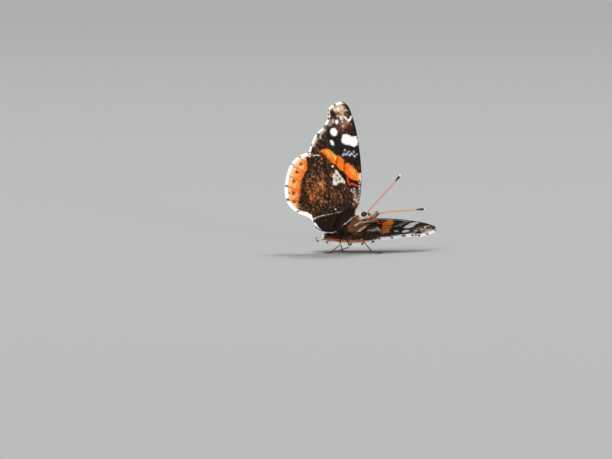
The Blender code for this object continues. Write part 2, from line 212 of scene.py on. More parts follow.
class Wire:
    # A node's output that can be added, subtracted and multiplied like a number.
    def __init__(self, owner, socket):
        self.owner, self.socket = owner, socket

    def math(self, operation, *values):
        return self.owner.node("ShaderNodeMath", {"operation": operation}, dict(enumerate(values)))

    def __add__(self, other):
        return self.math("ADD", self, other)

    def __radd__(self, other):
        return self.math("ADD", other, self)

    def __sub__(self, other):
        return self.math("SUBTRACT", self, other)

    def __rsub__(self, other):
        return self.math("SUBTRACT", other, self)

    def __mul__(self, other):
        return self.math("MULTIPLY", self, other)

    def __rmul__(self, other):
        return self.math("MULTIPLY", other, self)

    def sine(self):
        return self.math("SINE", self)


class Finish:
    # One material: a Principled shader and the nodes that feed it.
    def __init__(self, name, **constants):
        self.material = bpy.data.materials.new(name)
        self.material.use_nodes = True
        self.tree = self.material.node_tree
        self.shader = self.tree.nodes["Principled BSDF"]
        for key, value in constants.items():
            self.shader.inputs[key.replace("_", " ")].default_value = value

    def node(self, kind, settings=None, values=None, out=0):
        # Any node: its type, settings, the values or wires of its inputs and the output that is wanted.
        made = self.tree.nodes.new(kind)
        for key, value in (settings or {}).items():
            if key == "stops":
                ramp = made.color_ramp
                while len(ramp.elements) < len(value):
                    ramp.elements.new(0.5)
                for element, (place, color) in zip(ramp.elements, value):
                    element.position = place
                    element.color = (*color, 1.0)
            else:
                setattr(made, key, value)
        for key, value in (values or {}).items():
            if isinstance(value, Wire):
                self.tree.links.new(value.socket, made.inputs[key])
            else:
                made.inputs[key].default_value = value
        return Wire(self, made.outputs[out])

    def feed(self, name, wire):  # into an input of the shader
        self.tree.links.new(wire.socket, self.shader.inputs[name])

    def value(self, name, out="Fac"):  # what the mesh carries at each point under a name
        return self.node("ShaderNodeAttribute", {"attribute_name": name}, out=out)

    def stretched(self, vector, stretch):  # each part of a vector times its own number
        return self.node("ShaderNodeVectorMath", {"operation": "MULTIPLY"}, {0: vector, 1: stretch})

    def plan(self, forward=1.0, outward=1.0):  # places on the flat wing in mm
        return self.stretched(self.value("plan", "Vector"), (forward, outward, 1.0))

    def place(self):  # object coordinates in mm
        return self.stretched(self.node("ShaderNodeTexCoord", out="Object"), (1 / mm, 1 / mm, 1 / mm))

    def noise(self, at, scale, detail=3.0, rough=0.55, warp=0.0):  # clouds between 0 and 1
        values = {"Vector": at, "Scale": scale, "Detail": detail, "Roughness": rough, "Distortion": warp}
        return self.node("ShaderNodeTexNoise", None, values)

    def cells(self, at, scale, out="Distance"):  # distance to the middle of the nearest cell
        return self.node("ShaderNodeTexVoronoi", None, {"Vector": at, "Scale": scale}, out=out)

    def cellShade(self, at, scale):  # a grey of its own for each cell
        return self.node("ShaderNodeSeparateColor", None, {"Color": self.cells(at, scale, "Color")})

    def between(self, low, high, wire):  # 0 at low, 1 at high, eased
        return self.node("ShaderNodeMapRange", {"interpolation_type": "SMOOTHSTEP"},
                         {"Value": wire, "From Min": low, "From Max": high, "To Min": 0.0, "To Max": 1.0})

    def mix(self, share, first, second, blend="MIX"):  # first colour at share 0, second at 1
        first, second = (value if isinstance(value, Wire) else (*value, 1.0) for value in (first, second))
        return self.node("ShaderNodeMix", {"data_type": "RGBA", "blend_type": blend},
                         {"Factor": share, 6: first, 7: second}, out=2)

    def scaleColor(self, tone, warmth):  # the cool ramp by tone, turning into the warm one by warmth
        cool, warm = (self.node("ShaderNodeValToRGB", {"stops": stops}, {"Fac": tone})
                      for stops in (coolRamp, warmRamp))
        return self.mix(warmth, cool, warm)

    def bump(self, height, strength, distance):  # relief on the shader by a height, its depth in mm
        self.feed("Normal", self.node("ShaderNodeBump", None,
                                      {"Height": height, "Strength": strength, "Distance": distance * mm}))


# Dark brown to cream and dark brown to rust, by tone.
coolRamp = [(0.0, (0.006, 0.004, 0.003)), (0.25, (0.03, 0.017, 0.01)), (0.5, (0.135, 0.078, 0.04)),
            (0.72, (0.43, 0.31, 0.19)), (0.86, (0.8, 0.73, 0.64)), (1.0, (0.96, 0.93, 0.9))]
warmRamp = [(0.0, (0.012, 0.004, 0.002)), (0.25, (0.08, 0.022, 0.007)), (0.5, (0.36, 0.115, 0.028)),
            (0.75, (0.66, 0.27, 0.08)), (1.0, (0.92, 0.62, 0.32))]
edgeWhite, veinBlack = (0.96, 0.95, 0.94), (0.02, 0.008, 0.004)
# Cells of each noise in a mm of wing, its share in the shaken edge of a mark, and how soft the edges are.
grit = {"coarse": 0.9, "fine": 2.6, "grain": 7.0, "streak": 4.0, "row": 8.0, "fleck": 2.7}
shaken = {"fine": 0.62, "grain": 0.42, "speck": 0.08, "margin": 0.25}
soft = {"mark": 0.06, "margin": 0.07, "shadow": 0.32, "vein": 0.16}
markOrder = ("pale", "orange", "yellow", "black", "red", "blue", "white")


def wingFinish(name, colors):
    # Ground from the tone and warmth of each place, then the marks, each cut where its distance, shaken by
    # noise, passes zero. Rows of tiny overlapping scales give the speckle and the relief.
    made = Finish(name, Roughness=0.62, Specular_IOR_Level=0.12)
    at, rows = made.plan(), made.plan(1.6)
    coarse = made.noise(at, grit["coarse"], 4.0, 0.6, 0.4)
    fine = made.noise(at, grit["fine"], 4.0, 0.65)
    grain = made.noise(at, grit["grain"], 2.0, 0.6)
    streak = made.noise(made.plan(outward=0.35), grit["streak"], 3.0, 0.6)
    relief, speck = made.cells(rows, grit["row"]), made.cellShade(rows, grit["row"])
    fleck = made.cellShade(made.plan(outward=0.7), grit["fleck"])
    vein, margin = made.value("vein"), made.value("margin")
    rings = (margin * colors["ringPace"] + coarse * 9.0).sine()
    nearVein = 1.0 - made.between(0.05, colors["veinWidth"], vein)
    tone = (made.value("tone") + (coarse - 0.5) * colors["mottle"] + (fine - 0.5) * colors["grain"]
            + (grain - 0.5) * colors["grain"] + (speck - 0.5) * 0.10 + rings * colors["rings"])
    flecks = made.between(0.62, 0.95, fleck) - made.between(0.40, 0.05, fleck) * 0.6
    tone = tone + flecks * colors["fleck"] * fine * 2.0 - nearVein * colors["veinDark"]
    ground = made.scaleColor(tone, made.value("warmth") + (streak - 0.5) * colors["warmMottle"])
    shake = ((made.between(0.3, 0.7, fine) - 0.5) * shaken["fine"]
             + (made.between(0.3, 0.7, grain) - 0.5) * shaken["grain"] + (speck - 0.5) * shaken["speck"])
    for key in markOrder:
        mark = colors.get(key)
        if mark:
            distance = made.value(key) + shake * mark.get("ragged", 1.0)
            if "broken" in mark:
                distance = distance + (coarse + grain - 1.0) * mark["broken"]
            tint = made.mix(made.between(0.36, 0.64, streak), mark["dark"], mark["light"])
            if key in ("orange", "yellow"):
                tint = made.mix(nearVein * mark.get("veined", 0.75), tint, veinBlack)
            cover = (1.0 - made.between(-soft["mark"], soft["mark"], distance)) * mark.get("strength", 1.0)
            ground = made.mix(cover, ground, tint)
    edge = 1.0 - made.between(colors["edge"] - soft["margin"], colors["edge"] + soft["margin"],
                              margin + shake * shaken["margin"])
    ground = made.mix(edge * (1.0 - nearVein * 0.6), ground, edgeWhite)
    ground = made.mix(soft["shadow"], ground, made.mix(speck, (0.5, 0.5, 0.5), (1.0, 1.0, 1.0)), "MULTIPLY")
    made.feed("Base Color", ground)
    made.feed("Roughness", 0.55 + speck * 0.25)
    made.bump(1.0 - made.between(0.0, soft["vein"], vein) + fine * 0.35 - relief * 0.25, 0.5, 0.12)
    return made.material


underForeColors = {
    "mottle": 0.5, "grain": 0.36, "rings": 0.03, "ringPace": 2.0, "veinWidth": 0.17, "veinDark": 0.1,
    "warmMottle": 0.6, "edge": 0.7, "fleck": 0.2,
    "pale": {"dark": (0.36, 0.27, 0.18), "light": (0.92, 0.86, 0.76), "strength": 0.95, "broken": 0.2},
    "orange": {"dark": (0.88, 0.115, 0.006), "light": (1.0, 0.25, 0.02), "ragged": 0.7, "veined": 0.25},
    "yellow": {"dark": (1.0, 0.4, 0.04), "light": (1.0, 0.66, 0.2), "ragged": 1.4, "strength": 0.9},
    "red": {"dark": (0.85, 0.035, 0.004), "light": (0.98, 0.085, 0.012), "ragged": 0.5},
    "black": {"dark": (0.005, 0.003, 0.003), "light": (0.02, 0.012, 0.008), "ragged": 1.2, "strength": 0.94},
    "blue": {"dark": (0.34, 0.35, 0.44), "light": (0.82, 0.83, 0.9), "ragged": 0.6, "broken": 0.5},
    "white": {"dark": (0.95, 0.9, 0.88), "light": (0.99, 0.99, 0.99), "ragged": 0.75},
}
underHindColors = {
    "mottle": 0.6, "grain": 0.5, "rings": 0.05, "ringPace": 2.4, "veinWidth": 0.2, "veinDark": 0.12,
    "warmMottle": 0.9, "edge": 0.9, "fleck": 0.3,
    "pale": {"dark": (0.62, 0.56, 0.42), "light": (0.95, 0.92, 0.82), "ragged": 0.9, "strength": 0.97,
             "broken": 0.15},
    "orange": {"dark": (0.84, 0.12, 0.008), "light": (1.0, 0.29, 0.03), "ragged": 2.0, "veined": 0.2},
    "yellow": {"dark": (1.0, 0.44, 0.1), "light": (1.0, 0.84, 0.52), "ragged": 2.2, "strength": 0.9,
               "broken": 1.5},
    "red": {"dark": (0.85, 0.07, 0.01), "light": (0.95, 0.13, 0.02), "ragged": 0.6},
    "black": {"dark": (0.005, 0.003, 0.003), "light": (0.022, 0.013, 0.008), "ragged": 1.2},
    "blue": {"dark": (0.34, 0.34, 0.42), "light": (0.62, 0.62, 0.7), "ragged": 0.8, "strength": 0.6,
             "broken": 0.5},
    "white": {"dark": (0.8, 0.62, 0.54), "light": (0.96, 0.86, 0.8), "ragged": 0.5, "broken": 0.15},
}
upperForeColors = {
    "mottle": 0.1, "grain": 0.1, "rings": 0.0, "ringPace": 2.0, "veinWidth": 0.14, "veinDark": 0.04,
    "warmMottle": 0.2, "edge": 0.7, "fleck": 0.03,
    "orange": {"dark": (0.78, 0.06, 0.006), "light": (0.95, 0.15, 0.015), "ragged": 0.5, "veined": 0.5},
    "red": {"dark": (0.78, 0.07, 0.008), "light": (0.95, 0.16, 0.02), "ragged": 0.5},
    "black": {"dark": (0.006, 0.004, 0.004), "light": (0.012, 0.008, 0.008), "ragged": 0.5},
    "blue": {"dark": (0.05, 0.07, 0.25), "light": (0.15, 0.2, 0.5), "ragged": 0.6},
    "white": {"dark": (0.9, 0.88, 0.86), "light": (0.97, 0.97, 0.97), "ragged": 0.4},
}
upperHindColors = dict(upperForeColors, mottle=0.14, grain=0.12, edge=0.84)

# How a wing lies, in degrees from its hinge, and bends, and the sheet's thickness, ridges and waves in mm.
wingBend = {
    "hingeStart": (0.0, 2.2, 2.35), "hingeDip": 3.8, "rise": 35.0, "arch": 0.56, "archFall": 0.98,
    "twist": 0.037, "cup": 0.34, "cupChord": 10.0, "archSpan": 25.0,
}
# The last entry widens the white margin of the left wings only, in mm. The white edge is the wing's own
# colour; the extra width on that side is a painted highlight of sunlight on the edge.
wingSheet = {"halfThick": 0.065, "edgeThick": 0.03, "thickReach": 2.5, "veinRise": 0.055, "veinReach": 0.17,
             "costaRise": 0.06, "costaReach": 0.3, "billow": 0.09, "billowVein": 1.3, "billowMargin": 1.5,
             "curl": {1: 0.20, -1: 0.0}, "curlReach": 1.5, "paintedEdgeHighlight": {1: 0.45, -1: 0.0}}
# Flat wings in mm as (forward, outward): the edges run from the root to the outer margin.
foreWing = {
    "costa": [(1.7, -0.3), (2.9, 1.0), (4.6, 3.6), (6.1, 7.2), (7.4, 11.2), (8.5, 16.0), (9.3, 20.8),
              (9.5, 24.8), (9.3, 27.6), (8.3, 29.4)],
    "outer": [(8.3, 29.4), (5.6, 29.5), (3.5, 28.6), (2.6, 26.6), (0.4, 24.4), (-2.2, 23.2), (-4.4, 21.2),
              (-6.7, 18.4)],
    "inner": [(-2.0, 0.2), (-3.6, 4.0), (-5.1, 9.5), (-6.3, 15.0), (-6.7, 18.4)],
    "fringe": 0.62, "rows": 236, "columns": 116,
    "darkFringe": [(5.6, 29.6), (3.4, 28.4), (2.9, 27.4), (2.5, 26.4), (0.4, 24.5)],
    "veins": [[(1.6, 0.3), (4.2, 6.0), (6.2, 11.0), (8.2, 15.6)],
              [(1.2, 0.5), (3.6, 6.0), (6.0, 12.4), (7.7, 19.0), (8.4, 24.5), (8.2, 29.2)],
              [(5.3, 10.6), (7.5, 15.4), (8.9, 20.0)], [(6.9, 15.8), (8.6, 21.5), (9.2, 26.0)],
              [(6.0, 12.4), (6.4, 20.0), (5.7, 29.2)], [(4.9, 12.1), (4.6, 20.0), (3.4, 28.4)],
              [(3.1, 11.2), (2.7, 14.0), (2.1, 20.0), (1.0, 24.6)], [(1.7, 9.2), (0.4, 14.6), (-2.1, 23.0)],
              [(0.7, 6.0), (-1.8, 13.5), (-5.0, 20.8)], [(0.1, 0.5), (-3.0, 9.0), (-6.4, 18.6)],
              [(0.8, 0.5), (1.0, 5.0), (1.7, 9.2), (3.1, 11.2), (4.9, 12.1), (6.0, 12.4)]],
}
hindWing = {
    "costa": [(0.8, 0.9), (1.9, 2.6), (2.2, 5.2), (1.8, 8.4), (0.6, 11.8), (-1.0, 15.1), (-2.8, 17.3),
              (-6.1, 18.7)],
    "outer": [(-6.1, 18.7), (-9.3, 18.4), (-12.4, 17.1), (-15.5, 14.0), (-17.5, 10.6), (-18.0, 7.4),
              (-16.9, 4.9), (-14.6, 3.0), (-12.4, 1.7), (-11.5, 0.3), (-11.1, -1.2), (-10.2, -2.4)],
    "inner": [(-0.6, 0.5), (-1.9, 0.3), (-3.0, -0.4), (-4.4, -1.4), (-6.2, -2.9), (-8.0, -3.3),
              (-10.2, -2.4)],
    "fringe": 0.78, "rows": 164, "columns": 176, "drop": 0.85, "lift": 1.4, "foldFront": (-2.1, 0.9),
    "foldRear": (-11.4, 1.3), "foldRunIn": 1.5, "foldRound": 1.6, "foldPasses": 3.0 / 20**2, "flapFront": 4.4,
    "flapRear": 3.6, "flapClear": 0.62, "flapOverThorax": 0.5, "flapEnd": -68.0,
    "abdomenFront": (-4.95, 0.0, 0.35), "abdomenTip": (-12.3, 0.0, 4.0), "abdomenDepth": 1.9,
    "veins": [[(0.6, 1.0), (1.3, 7.0), (-0.8, 13.0), (-3.4, 17.4)],
              [(0.2, 1.0), (-0.6, 7.5), (-3.2, 13.5), (-6.3, 18.5)],
              [(-1.0, 6.2), (-5.0, 12.5), (-9.4, 18.1)], [(-2.4, 6.2), (-7.4, 11.8), (-12.4, 16.8)],
              [(-4.0, 5.8), (-9.4, 10.2), (-14.6, 14.2)], [(-4.4, 5.0), (-10.8, 8.4), (-16.7, 11.6)],
              [(-3.4, 3.2), (-10.5, 5.4), (-17.9, 7.9)], [(-0.8, 1.0), (-7.0, 2.4), (-15.8, 4.2)],
              [(-1.2, 0.6), (-6.0, -0.9), (-11.3, 0.4)],
              [(0.2, 1.0), (-1.0, 6.2), (-2.4, 6.2), (-4.0, 5.8), (-4.4, 5.0)],
              [(0.0, 0.9), (-3.4, 3.2), (-4.4, 5.0)]],
    "liftFrom": 5.0, "liftOver": 12.0, "abdomenTaper": 0.3, "flapRunIn": 0.25,
}


def bladePoint(plan, lift=0.0):
    # The flat wing laid on its plane and raised by an arch, a twist and a cup that all grow outward.
    dip, rise = math.radians(wingBend["hingeDip"]), math.radians(wingBend["rise"])
    forwardAxis = np.array((math.cos(dip), 0.0, -math.sin(dip)))
    up = np.array((math.sin(dip), 0.0, math.cos(dip)))
    outAxis = np.array((0.0, math.cos(rise), 0.0)) + up * math.sin(rise)
    forward, outward = plan[..., 0], plan[..., 1]
    part = outward / wingBend["archSpan"]
    bend = wingBend
    height = (lift + bend["arch"] * part - bend["archFall"] * part**2 + bend["twist"] * forward * part
              + bend["cup"] * (forward / bend["cupChord"])**2 * part)
    return (np.array(wingBend["hingeStart"]) + forward[..., None] * forwardAxis + outward[..., None] * outAxis
            + height[..., None] * np.cross(forwardAxis, outAxis))


def foldLine(forward):  # how far out the hind wing folds, straight from its front to its rear
    front, rear = hindWing["foldFront"], hindWing["foldRear"]
    return front[1] + (rear[1] - front[1]) / (rear[0] - front[0]) * (forward - front[0])


def hindBlade(plan):  # the hind wing without its fold, below the fore wing and lifted towards its rear
    rear = np.clip((-plan[..., 0] - hindWing["liftFrom"]) / hindWing["liftOver"], 0, 1)
    return bladePoint(plan, hindWing["lift"] * rear**2 - hindWing["drop"])


def hindPoint(plan):
    # The blade outside the fold. Inside it the wing winds round the abdomen by its distance from the fold.
    forward, outward = plan[..., 0], plan[..., 1]
    fold = foldLine(forward)
    blade, edge = hindBlade(plan), hindBlade(np.stack([forward, fold], -1))
    start, end = np.array(hindWing["abdomenFront"]), np.array(hindWing["abdomenTip"])
    back = np.clip((edge[..., 0] - start[0]) / (end[0] - start[0]), -0.3, 1)
    middleZ = start[2] + back * (end[2] - start[2])
    radius = (hindWing["abdomenDepth"] * (1 - hindWing["abdomenTaper"] * np.clip(back, 0, 1)**2)
              + hindWing["flapClear"]
              + hindWing["flapOverThorax"] * np.clip(-back / hindWing["flapRunIn"], 0, 1))
    width = hindWing["flapFront"] + (hindWing["flapRear"] - hindWing["flapFront"]) * np.clip(back, 0, 1)
    wound = np.clip((fold - outward) / width, 0, 1.2)
    firstTurn = np.arctan2(edge[..., 2] - middleZ, edge[..., 1])
    firstRadius = np.hypot(edge[..., 2] - middleZ, edge[..., 1])
    turn = firstTurn + (math.radians(hindWing["flapEnd"]) - firstTurn) * wound
    reach = radius + (firstRadius - radius) * np.clip(1 - wound, 0, 1)**2
    flap = np.stack([edge[..., 0], reach * np.cos(turn), middleZ + reach * np.sin(turn)], -1)
    folded = ease(0.0, hindWing["foldRunIn"], hindWing["foldFront"][0] - forward)[..., None]
    return np.where((outward < fold)[..., None], blade + (flap - blade) * folded, blade)


def softFold(plan):
    # The bent hind wing. Near the fold each point goes part of the way to the middle of its neighbours, many
    # times over.
    surface = hindPoint(plan)
    apart = np.abs(plan[..., 1] - foldLine(plan[..., 0]))
    share = (0.5 * np.clip(1.5 - apart / hindWing["foldRound"], 0, 1))[:, 1:-1, None]
    for _ in range(round(hindWing["foldPasses"] * (plan.shape[1] - 1)**2)):
        middle = (surface[:, :-2] + surface[:, 2:]) / 2
        surface[:, 1:-1] += share * (middle - surface[:, 1:-1])
    return surface


def wingPlan(shape, along, across):
    # The flat wing between its four edges: along runs from the root line to the outer margin, across from
    # the leading edge to the inner edge.
    lead, inner, outer = (curveThrough(shape[key]) for key in ("costa", "inner", "outer"))
    u, v = along[..., None], across[..., None]
    root = lead(0) + (inner(0) - lead(0)) * v
    return ((1 - v) * lead(along) + v * inner(along) + (1 - u) * root + u * outer(across)
            - (1 - u) * (1 - v) * lead(0) - (1 - u) * v * inner(0) - u * (1 - v) * lead(1) - u * v * inner(1))


def nearestOf(plan, starts, stops):  # the least distance to any of the straight pieces
    distance = np.full(len(plan), 1e9)
    for start, stop in zip(starts, stops):
        edge, away = stop - start, plan - start
        share = np.clip(away @ edge / (edge @ edge), 0, 1)
        distance = np.minimum(distance, np.linalg.norm(away - share[:, None] * edge, axis=1))
    return distance


def lineDistance(plan, points):  # distance to a smooth line through the points
    line = evenly(points, 24) if len(points) > 2 else np.array(points, float)
    return nearestOf(plan, line[:-1], line[1:])


def patchDistance(plan, points):  # distance to a polygon's edge, negative inside it
    starts, inside = np.array(points, float), np.zeros(len(plan), bool)
    stops = np.roll(starts, -1, 0)
    for start, stop in zip(starts, stops):
        rise = stop[1] - start[1]
        crossing = start[0] + (stop[0] - start[0]) * (plan[:, 1] - start[1]) / (rise if rise else 1e-9)
        inside ^= ((start[1] > plan[:, 1]) != (stop[1] > plan[:, 1])) & (plan[:, 0] < crossing)
    return nearestOf(plan, starts, stops) * np.where(inside, -1, 1)


def marksDistance(plan, marks):
    # The least distance to any mark. A list of corners is a patch, a half width with points is a stroke, and
    # four numbers or five are a spot: its place, two half widths and a turn in degrees.
    distance = np.full(len(plan), 9.0)
    for mark in marks:
        if isinstance(mark, list):
            found = patchDistance(plan, mark)
        elif len(mark) == 2:
            found = lineDistance(plan, mark[1]) - mark[0]
        else:
            forward, outward, wide, tall, *turned = mark
            turn = math.radians(turned[0] if turned else 0.0)
            x, y = plan[:, 0] - forward, plan[:, 1] - outward
            x, y = x * math.cos(turn) + y * math.sin(turn), y * math.cos(turn) - x * math.sin(turn)
            found = (np.hypot(x / wide, y / tall) - 1) * min(wide, tall)
        distance = np.minimum(distance, found)
    return distance


def softSum(plan, base, hills):  # a base value and soft hills, each of place, two half widths and height
    total = np.full(len(plan), float(base))
    for forward, outward, wide, tall, height in hills:
        total += height * np.exp(-((plan[:, 0] - forward) / wide)**2 - ((plan[:, 1] - outward) / tall)**2)
    return total


# The marks of each face of the wings on the flat wing, then its tone and warmth as a base and soft hills.
orangeBand = [(-3.1, 18.0), (-1.9, 18.2), (-0.7, 18.2), (0.0, 17.4), (0.6, 16.5), (1.2, 15.5), (2.0, 15.6),
              (2.8, 14.8), (3.1, 13.8), (2.9, 13.0), (3.9, 12.7), (4.8, 11.7), (5.6, 10.4), (6.0, 9.3),
              (6.5, 8.8), (6.1, 7.2), (4.9, 7.3), (3.8, 7.9), (3.0, 8.6), (2.5, 9.2), (2.1, 10.2),
              (1.7, 11.0), (0.9, 11.2), (0.7, 12.1), (0.4, 13.4), (-0.5, 13.6), (-1.0, 14.7), (-1.6, 15.8),
              (-2.0, 17.2)]
whiteBar = [(5.2, 20.6), (6.1, 20.5), (7.1, 19.8), (7.8, 19.2), (8.7, 19.1), (8.8, 17.8), (8.4, 16.9),
            (7.4, 16.4), (6.8, 16.8), (6.2, 17.4), (5.4, 17.6), (4.5, 18.2), (4.1, 18.9), (4.6, 19.8)]
foreSpots = [(2.9, 22.0, 1.0, 1.08), (1.35, 19.3, 0.46, 0.8, 10), (4.8, 24.4, 0.42, 0.55),
             (6.3, 25.2, 0.3, 0.42)]
apexHook = [(0.24, [(7.3, 25.1), (7.7, 24.4), (8.1, 23.7)]), (0.26, [(8.1, 23.7), (8.7, 24.1), (9.2, 24.5)])]
underFore = {
    "white": [whiteBar, *foreSpots, *apexHook, (0.17, [(6.5, 8.9), (6.2, 8.0), (5.9, 7.2)])],
    "orange": [orangeBand],
    "yellow": [(-0.4, 16.9, 0.7, 1.0, 20), (0.7, 15.2, 0.5, 0.8), (5.9, 8.0, 0.6, 0.8),
               (4.6, 9.6, 0.35, 0.9, 20)],
    "red": [(0.17, [(2.6, 9.2), (2.2, 7.9), (2.4, 6.9)]), (0.19, [(2.1, 7.0), (3.2, 6.9), (4.5, 6.0)])],
    "blue": [(3.5, 15.3, 0.4, 0.24, 30), (4.4, 15.1, 0.3, 0.26, -20), (5.1, 15.6, 0.34, 0.2, 10),
             (5.2, 14.6, 0.24, 0.3), (5.9, 14.9, 0.36, 0.22, 30), (6.5, 14.0, 0.26, 0.3),
             (4.3, 16.4, 0.22, 0.2), (6.6, 15.2, 0.22, 0.22), (7.2, 14.3, 0.2, 0.2), (2.4, 5.2, 0.26, 0.36),
             (2.9, 4.7, 0.34, 0.22), (3.4, 5.3, 0.2, 0.3), (3.3, 26.9, 0.34, 0.55), (5.5, 6.6, 0.2, 0.26),
             (5.15, 5.8, 0.22, 0.22), (4.85, 5.0, 0.22, 0.26), (4.5, 4.2, 0.24, 0.2), (4.1, 3.4, 0.2, 0.24),
             (3.6, 2.6, 0.22, 0.2), (3.1, 1.8, 0.2, 0.22)],
    "black": [(0.13, [(2.3, 16.0), (1.4, 14.8), (0.7, 13.7)]),
              (0.13, [(3.4, 13.3), (2.7, 12.2), (2.0, 10.7)]),
              [(2.2, 20.6), (3.8, 23.9), (3.3, 24.5), (0.2, 22.0), (0.3, 17.8), (3.4, 13.9), (7.2, 10.6),
               (9.5, 17.0), (7.4, 16.0), (4.9, 17.4), (3.6, 19.0), (4.4, 20.8)],
              [(8.3, 19.8), (9.7, 19.4), (9.8, 24.0), (8.9, 23.5)], (3.4, 27.8, 0.55, 0.75),
              (4.4, 26.7, 0.75, 1.25, 10), (5.7, 29.0, 0.35, 0.5), (8.9, 27.6, 0.35, 1.5, 8),
              (1.2, 23.9, 0.45, 0.6), (-2.0, 22.4, 0.45, 0.6),
              [(2.0, 10.4), (2.9, 8.2), (5.2, 6.8), (5.6, 6.9), (4.4, 5.4), (1.8, 5.9), (0.2, 9.5),
               (-1.5, 13.5), (-0.6, 13.3)]],
    "pale": [(0.34, [(2.7, 26.0), (2.3, 24.9), (1.5, 24.3), (0.6, 23.3)]),
             (0.3, [(3.9, 25.2), (3.4, 24.4), (2.6, 23.9)]),
             (0.28, [(0.1, 23.2), (-0.9, 22.6), (-1.6, 21.7)]),
             (0.24, [(-2.4, 21.6), (-3.4, 20.9), (-4.2, 20.1)]),
             (0.2, [(6.2, 24.0), (6.9, 25.6), (6.8, 27.2)]), (0.22, [(5.4, 27.6), (6.2, 28.6), (7.4, 28.5)]),
             (0.16, [(7.4, 26.6), (8.2, 26.9), (8.8, 26.4)]), (5.6, 25.8, 0.3, 0.34),
             (7.6, 27.7, 0.5, 0.3, 20), (6.1, 22.9, 0.3, 0.25),
             [(8.2, 19.2), (8.9, 19.2), (9.0, 17.6), (8.2, 17.0)], (3.0, 3.7, 0.22, 0.34, 20),
             (2.3, 2.6, 0.2, 0.34, 20), (1.5, 1.5, 0.18, 0.3, 20),
             (0.12, [(2.0, 5.2), (1.2, 3.9), (0.8, 2.4)])],
    "tone": (0.13,
             [(6.6, 27.6, 1.9, 2.2, 0.62), (5.2, 28.4, 1.2, 1.2, 0.45), (7.2, 23.3, 2.0, 1.5, 0.32),
              (3.0, 2.6, 0.9, 2.6, 0.4), (0.2, 22.4, 2.6, 1.6, 0.16), (4.6, 22.3, 1.2, 1.2, 0.15),
              (-3.4, 15.0, 2.0, 6.0, 0.16), (0.5, 4.0, 1.2, 3.5, 0.18), (3.6, 25.0, 1.0, 0.9, 0.25)]),
    "warmth": (0.25, [(8.3, 27.0, 0.9, 2.0, 0.6), (7.2, 23.0, 2.0, 1.5, 0.25), (2.0, 3.0, 2.0, 3.0, 0.35)]),
}
# A white line along the costa, put on the underside of the left fore wing only: a painted highlight, the
# sun's glint on that edge, drawn as a white mark.
paintedCostaGlint = (0.15, [(3.3, 1.7), (4.55, 3.8), (6.0, 7.3), (7.2, 11.0), (8.2, 15.0)])
underHind = {
    "white": [(0.12, [(-6.3, 17.5), (-5.4, 17.6)]), (0.12, [(-4.9, 17.3), (-4.0, 17.4), (-3.1, 17.0)]),
              (-0.2, 13.1, 0.34, 0.3), (0.085, [(-2.1, 0.45), (-5.7, 0.72), (-8.9, 0.9), (-10.9, 1.0)]),
              (-3.6, 1.5, 0.2, 0.16)],
    "orange": [[(-6.4, 18.4), (-7.0, 17.0), (-7.4, 15.5), (-8.0, 14.3), (-9.3, 13.2), (-10.4, 12.2),
                (-11.4, 11.3), (-12.3, 9.7), (-13.2, 8.2), (-14.3, 6.7), (-15.0, 5.3), (-15.4, 3.4),
                (-17.6, 4.5), (-19.5, 7.5), (-19.0, 11.5), (-16.5, 15.5), (-13.0, 18.6), (-9.0, 20.2)],
               (-9.8, 12.6, 0.5, 0.6), (-9.9, 6.5, 0.22, 0.3), (-8.4, 5.0, 0.2, 0.26)],
    "yellow": [(0.75,
                [(-8.6, 17.6), (-11.6, 15.9), (-14.0, 13.3), (-15.9, 10.6), (-16.5, 7.8), (-15.9, 5.6)]),
               (0.2, [(-9.4, 15.4), (-10.6, 14.8), (-12.2, 13.4)]), (0.2, [(-12.8, 11.8), (-14.2, 10.6)]),
               (0.18, [(-14.2, 8.6), (-15.4, 8.0), (-16.0, 7.6)])],
    "red": [(-2.9, 15.9, 0.3, 0.26)],
    "black": [(-9.4, 16.3, 0.38, 0.33), (-11.5, 14.4, 0.4, 0.34), (-13.5, 12.2, 0.4, 0.34),
              (-14.9, 9.1, 0.46, 0.38), (-16.3, 9.5, 0.26, 0.3), (-15.6, 6.7, 0.42, 0.38),
              (0.4, [(-6.7, 17.2), (-7.0, 15.4), (-7.7, 14.0), (-9.1, 12.9), (-10.3, 11.8)]),
              (0.38, [(-10.9, 10.4), (-11.4, 8.6), (-12.2, 6.9), (-13.5, 5.9)]), (-5.2, 6.5, 0.3, 0.5),
              (-11.2, 8.2, 0.45, 1.2, 20), (-6.9, 10.9, 0.3, 0.9, 30), (-3.4, 9.2, 0.4, 1.7, -6),
              (-8.2, 4.6, 0.5, 0.8), (0.1, 10.3, 0.3, 0.36), (0.5, 9.2, 0.36, 0.34), (-0.7, 9.3, 0.3, 0.36),
              [(0.6, 12.0), (1.3, 10.2), (2.3, 7.6), (2.4, 9.2), (1.2, 12.2), (0.0, 14.1), (-0.7, 12.9)],
              (-2.2, 11.8, 0.35, 1.6, 5), (-0.3, 7.6, 0.7, 0.22)],
    "pale": [[(0.3, 12.0), (0.8, 11.6), (1.1, 10.2), (1.9, 8.1), (1.4, 7.6), (0.5, 8.2), (-0.3, 8.3),
              (-1.1, 7.7), (-2.0, 8.3), (-1.9, 9.1), (-1.3, 9.6), (-1.4, 10.6), (-0.4, 11.0)],
             (0.13, [(-2.0, 0.4), (-1.9, -0.1), (-2.4, -0.7)])],
    "tone": (0.17,
             [(-5.3, 9.2, 1.1, 2.2, 0.24), (-8.4, 8.0, 3.0, 3.4, 0.16), (-5.0, 2.4, 5.5, 1.8, -0.08),
              (-4.2, 14.2, 3.2, 2.2, -0.03), (-2.6, 5.2, 2.4, 2.0, 0.08), (-11.6, 6.6, 1.6, 2.6, -0.08),
              (-6.0, -2.0, 6.0, 2.6, -0.1), (-5.5, 0.6, 6.0, 1.2, -0.08)]),
    "warmth": (0.46,
               [(-8.6, 8.2, 3.4, 3.6, 0.45), (-5.3, 9.2, 1.8, 2.6, 0.45), (-3.5, 13.6, 3.4, 2.6, -0.1),
                (-4.6, 0.0, 6.0, 2.6, -0.22)]),
}
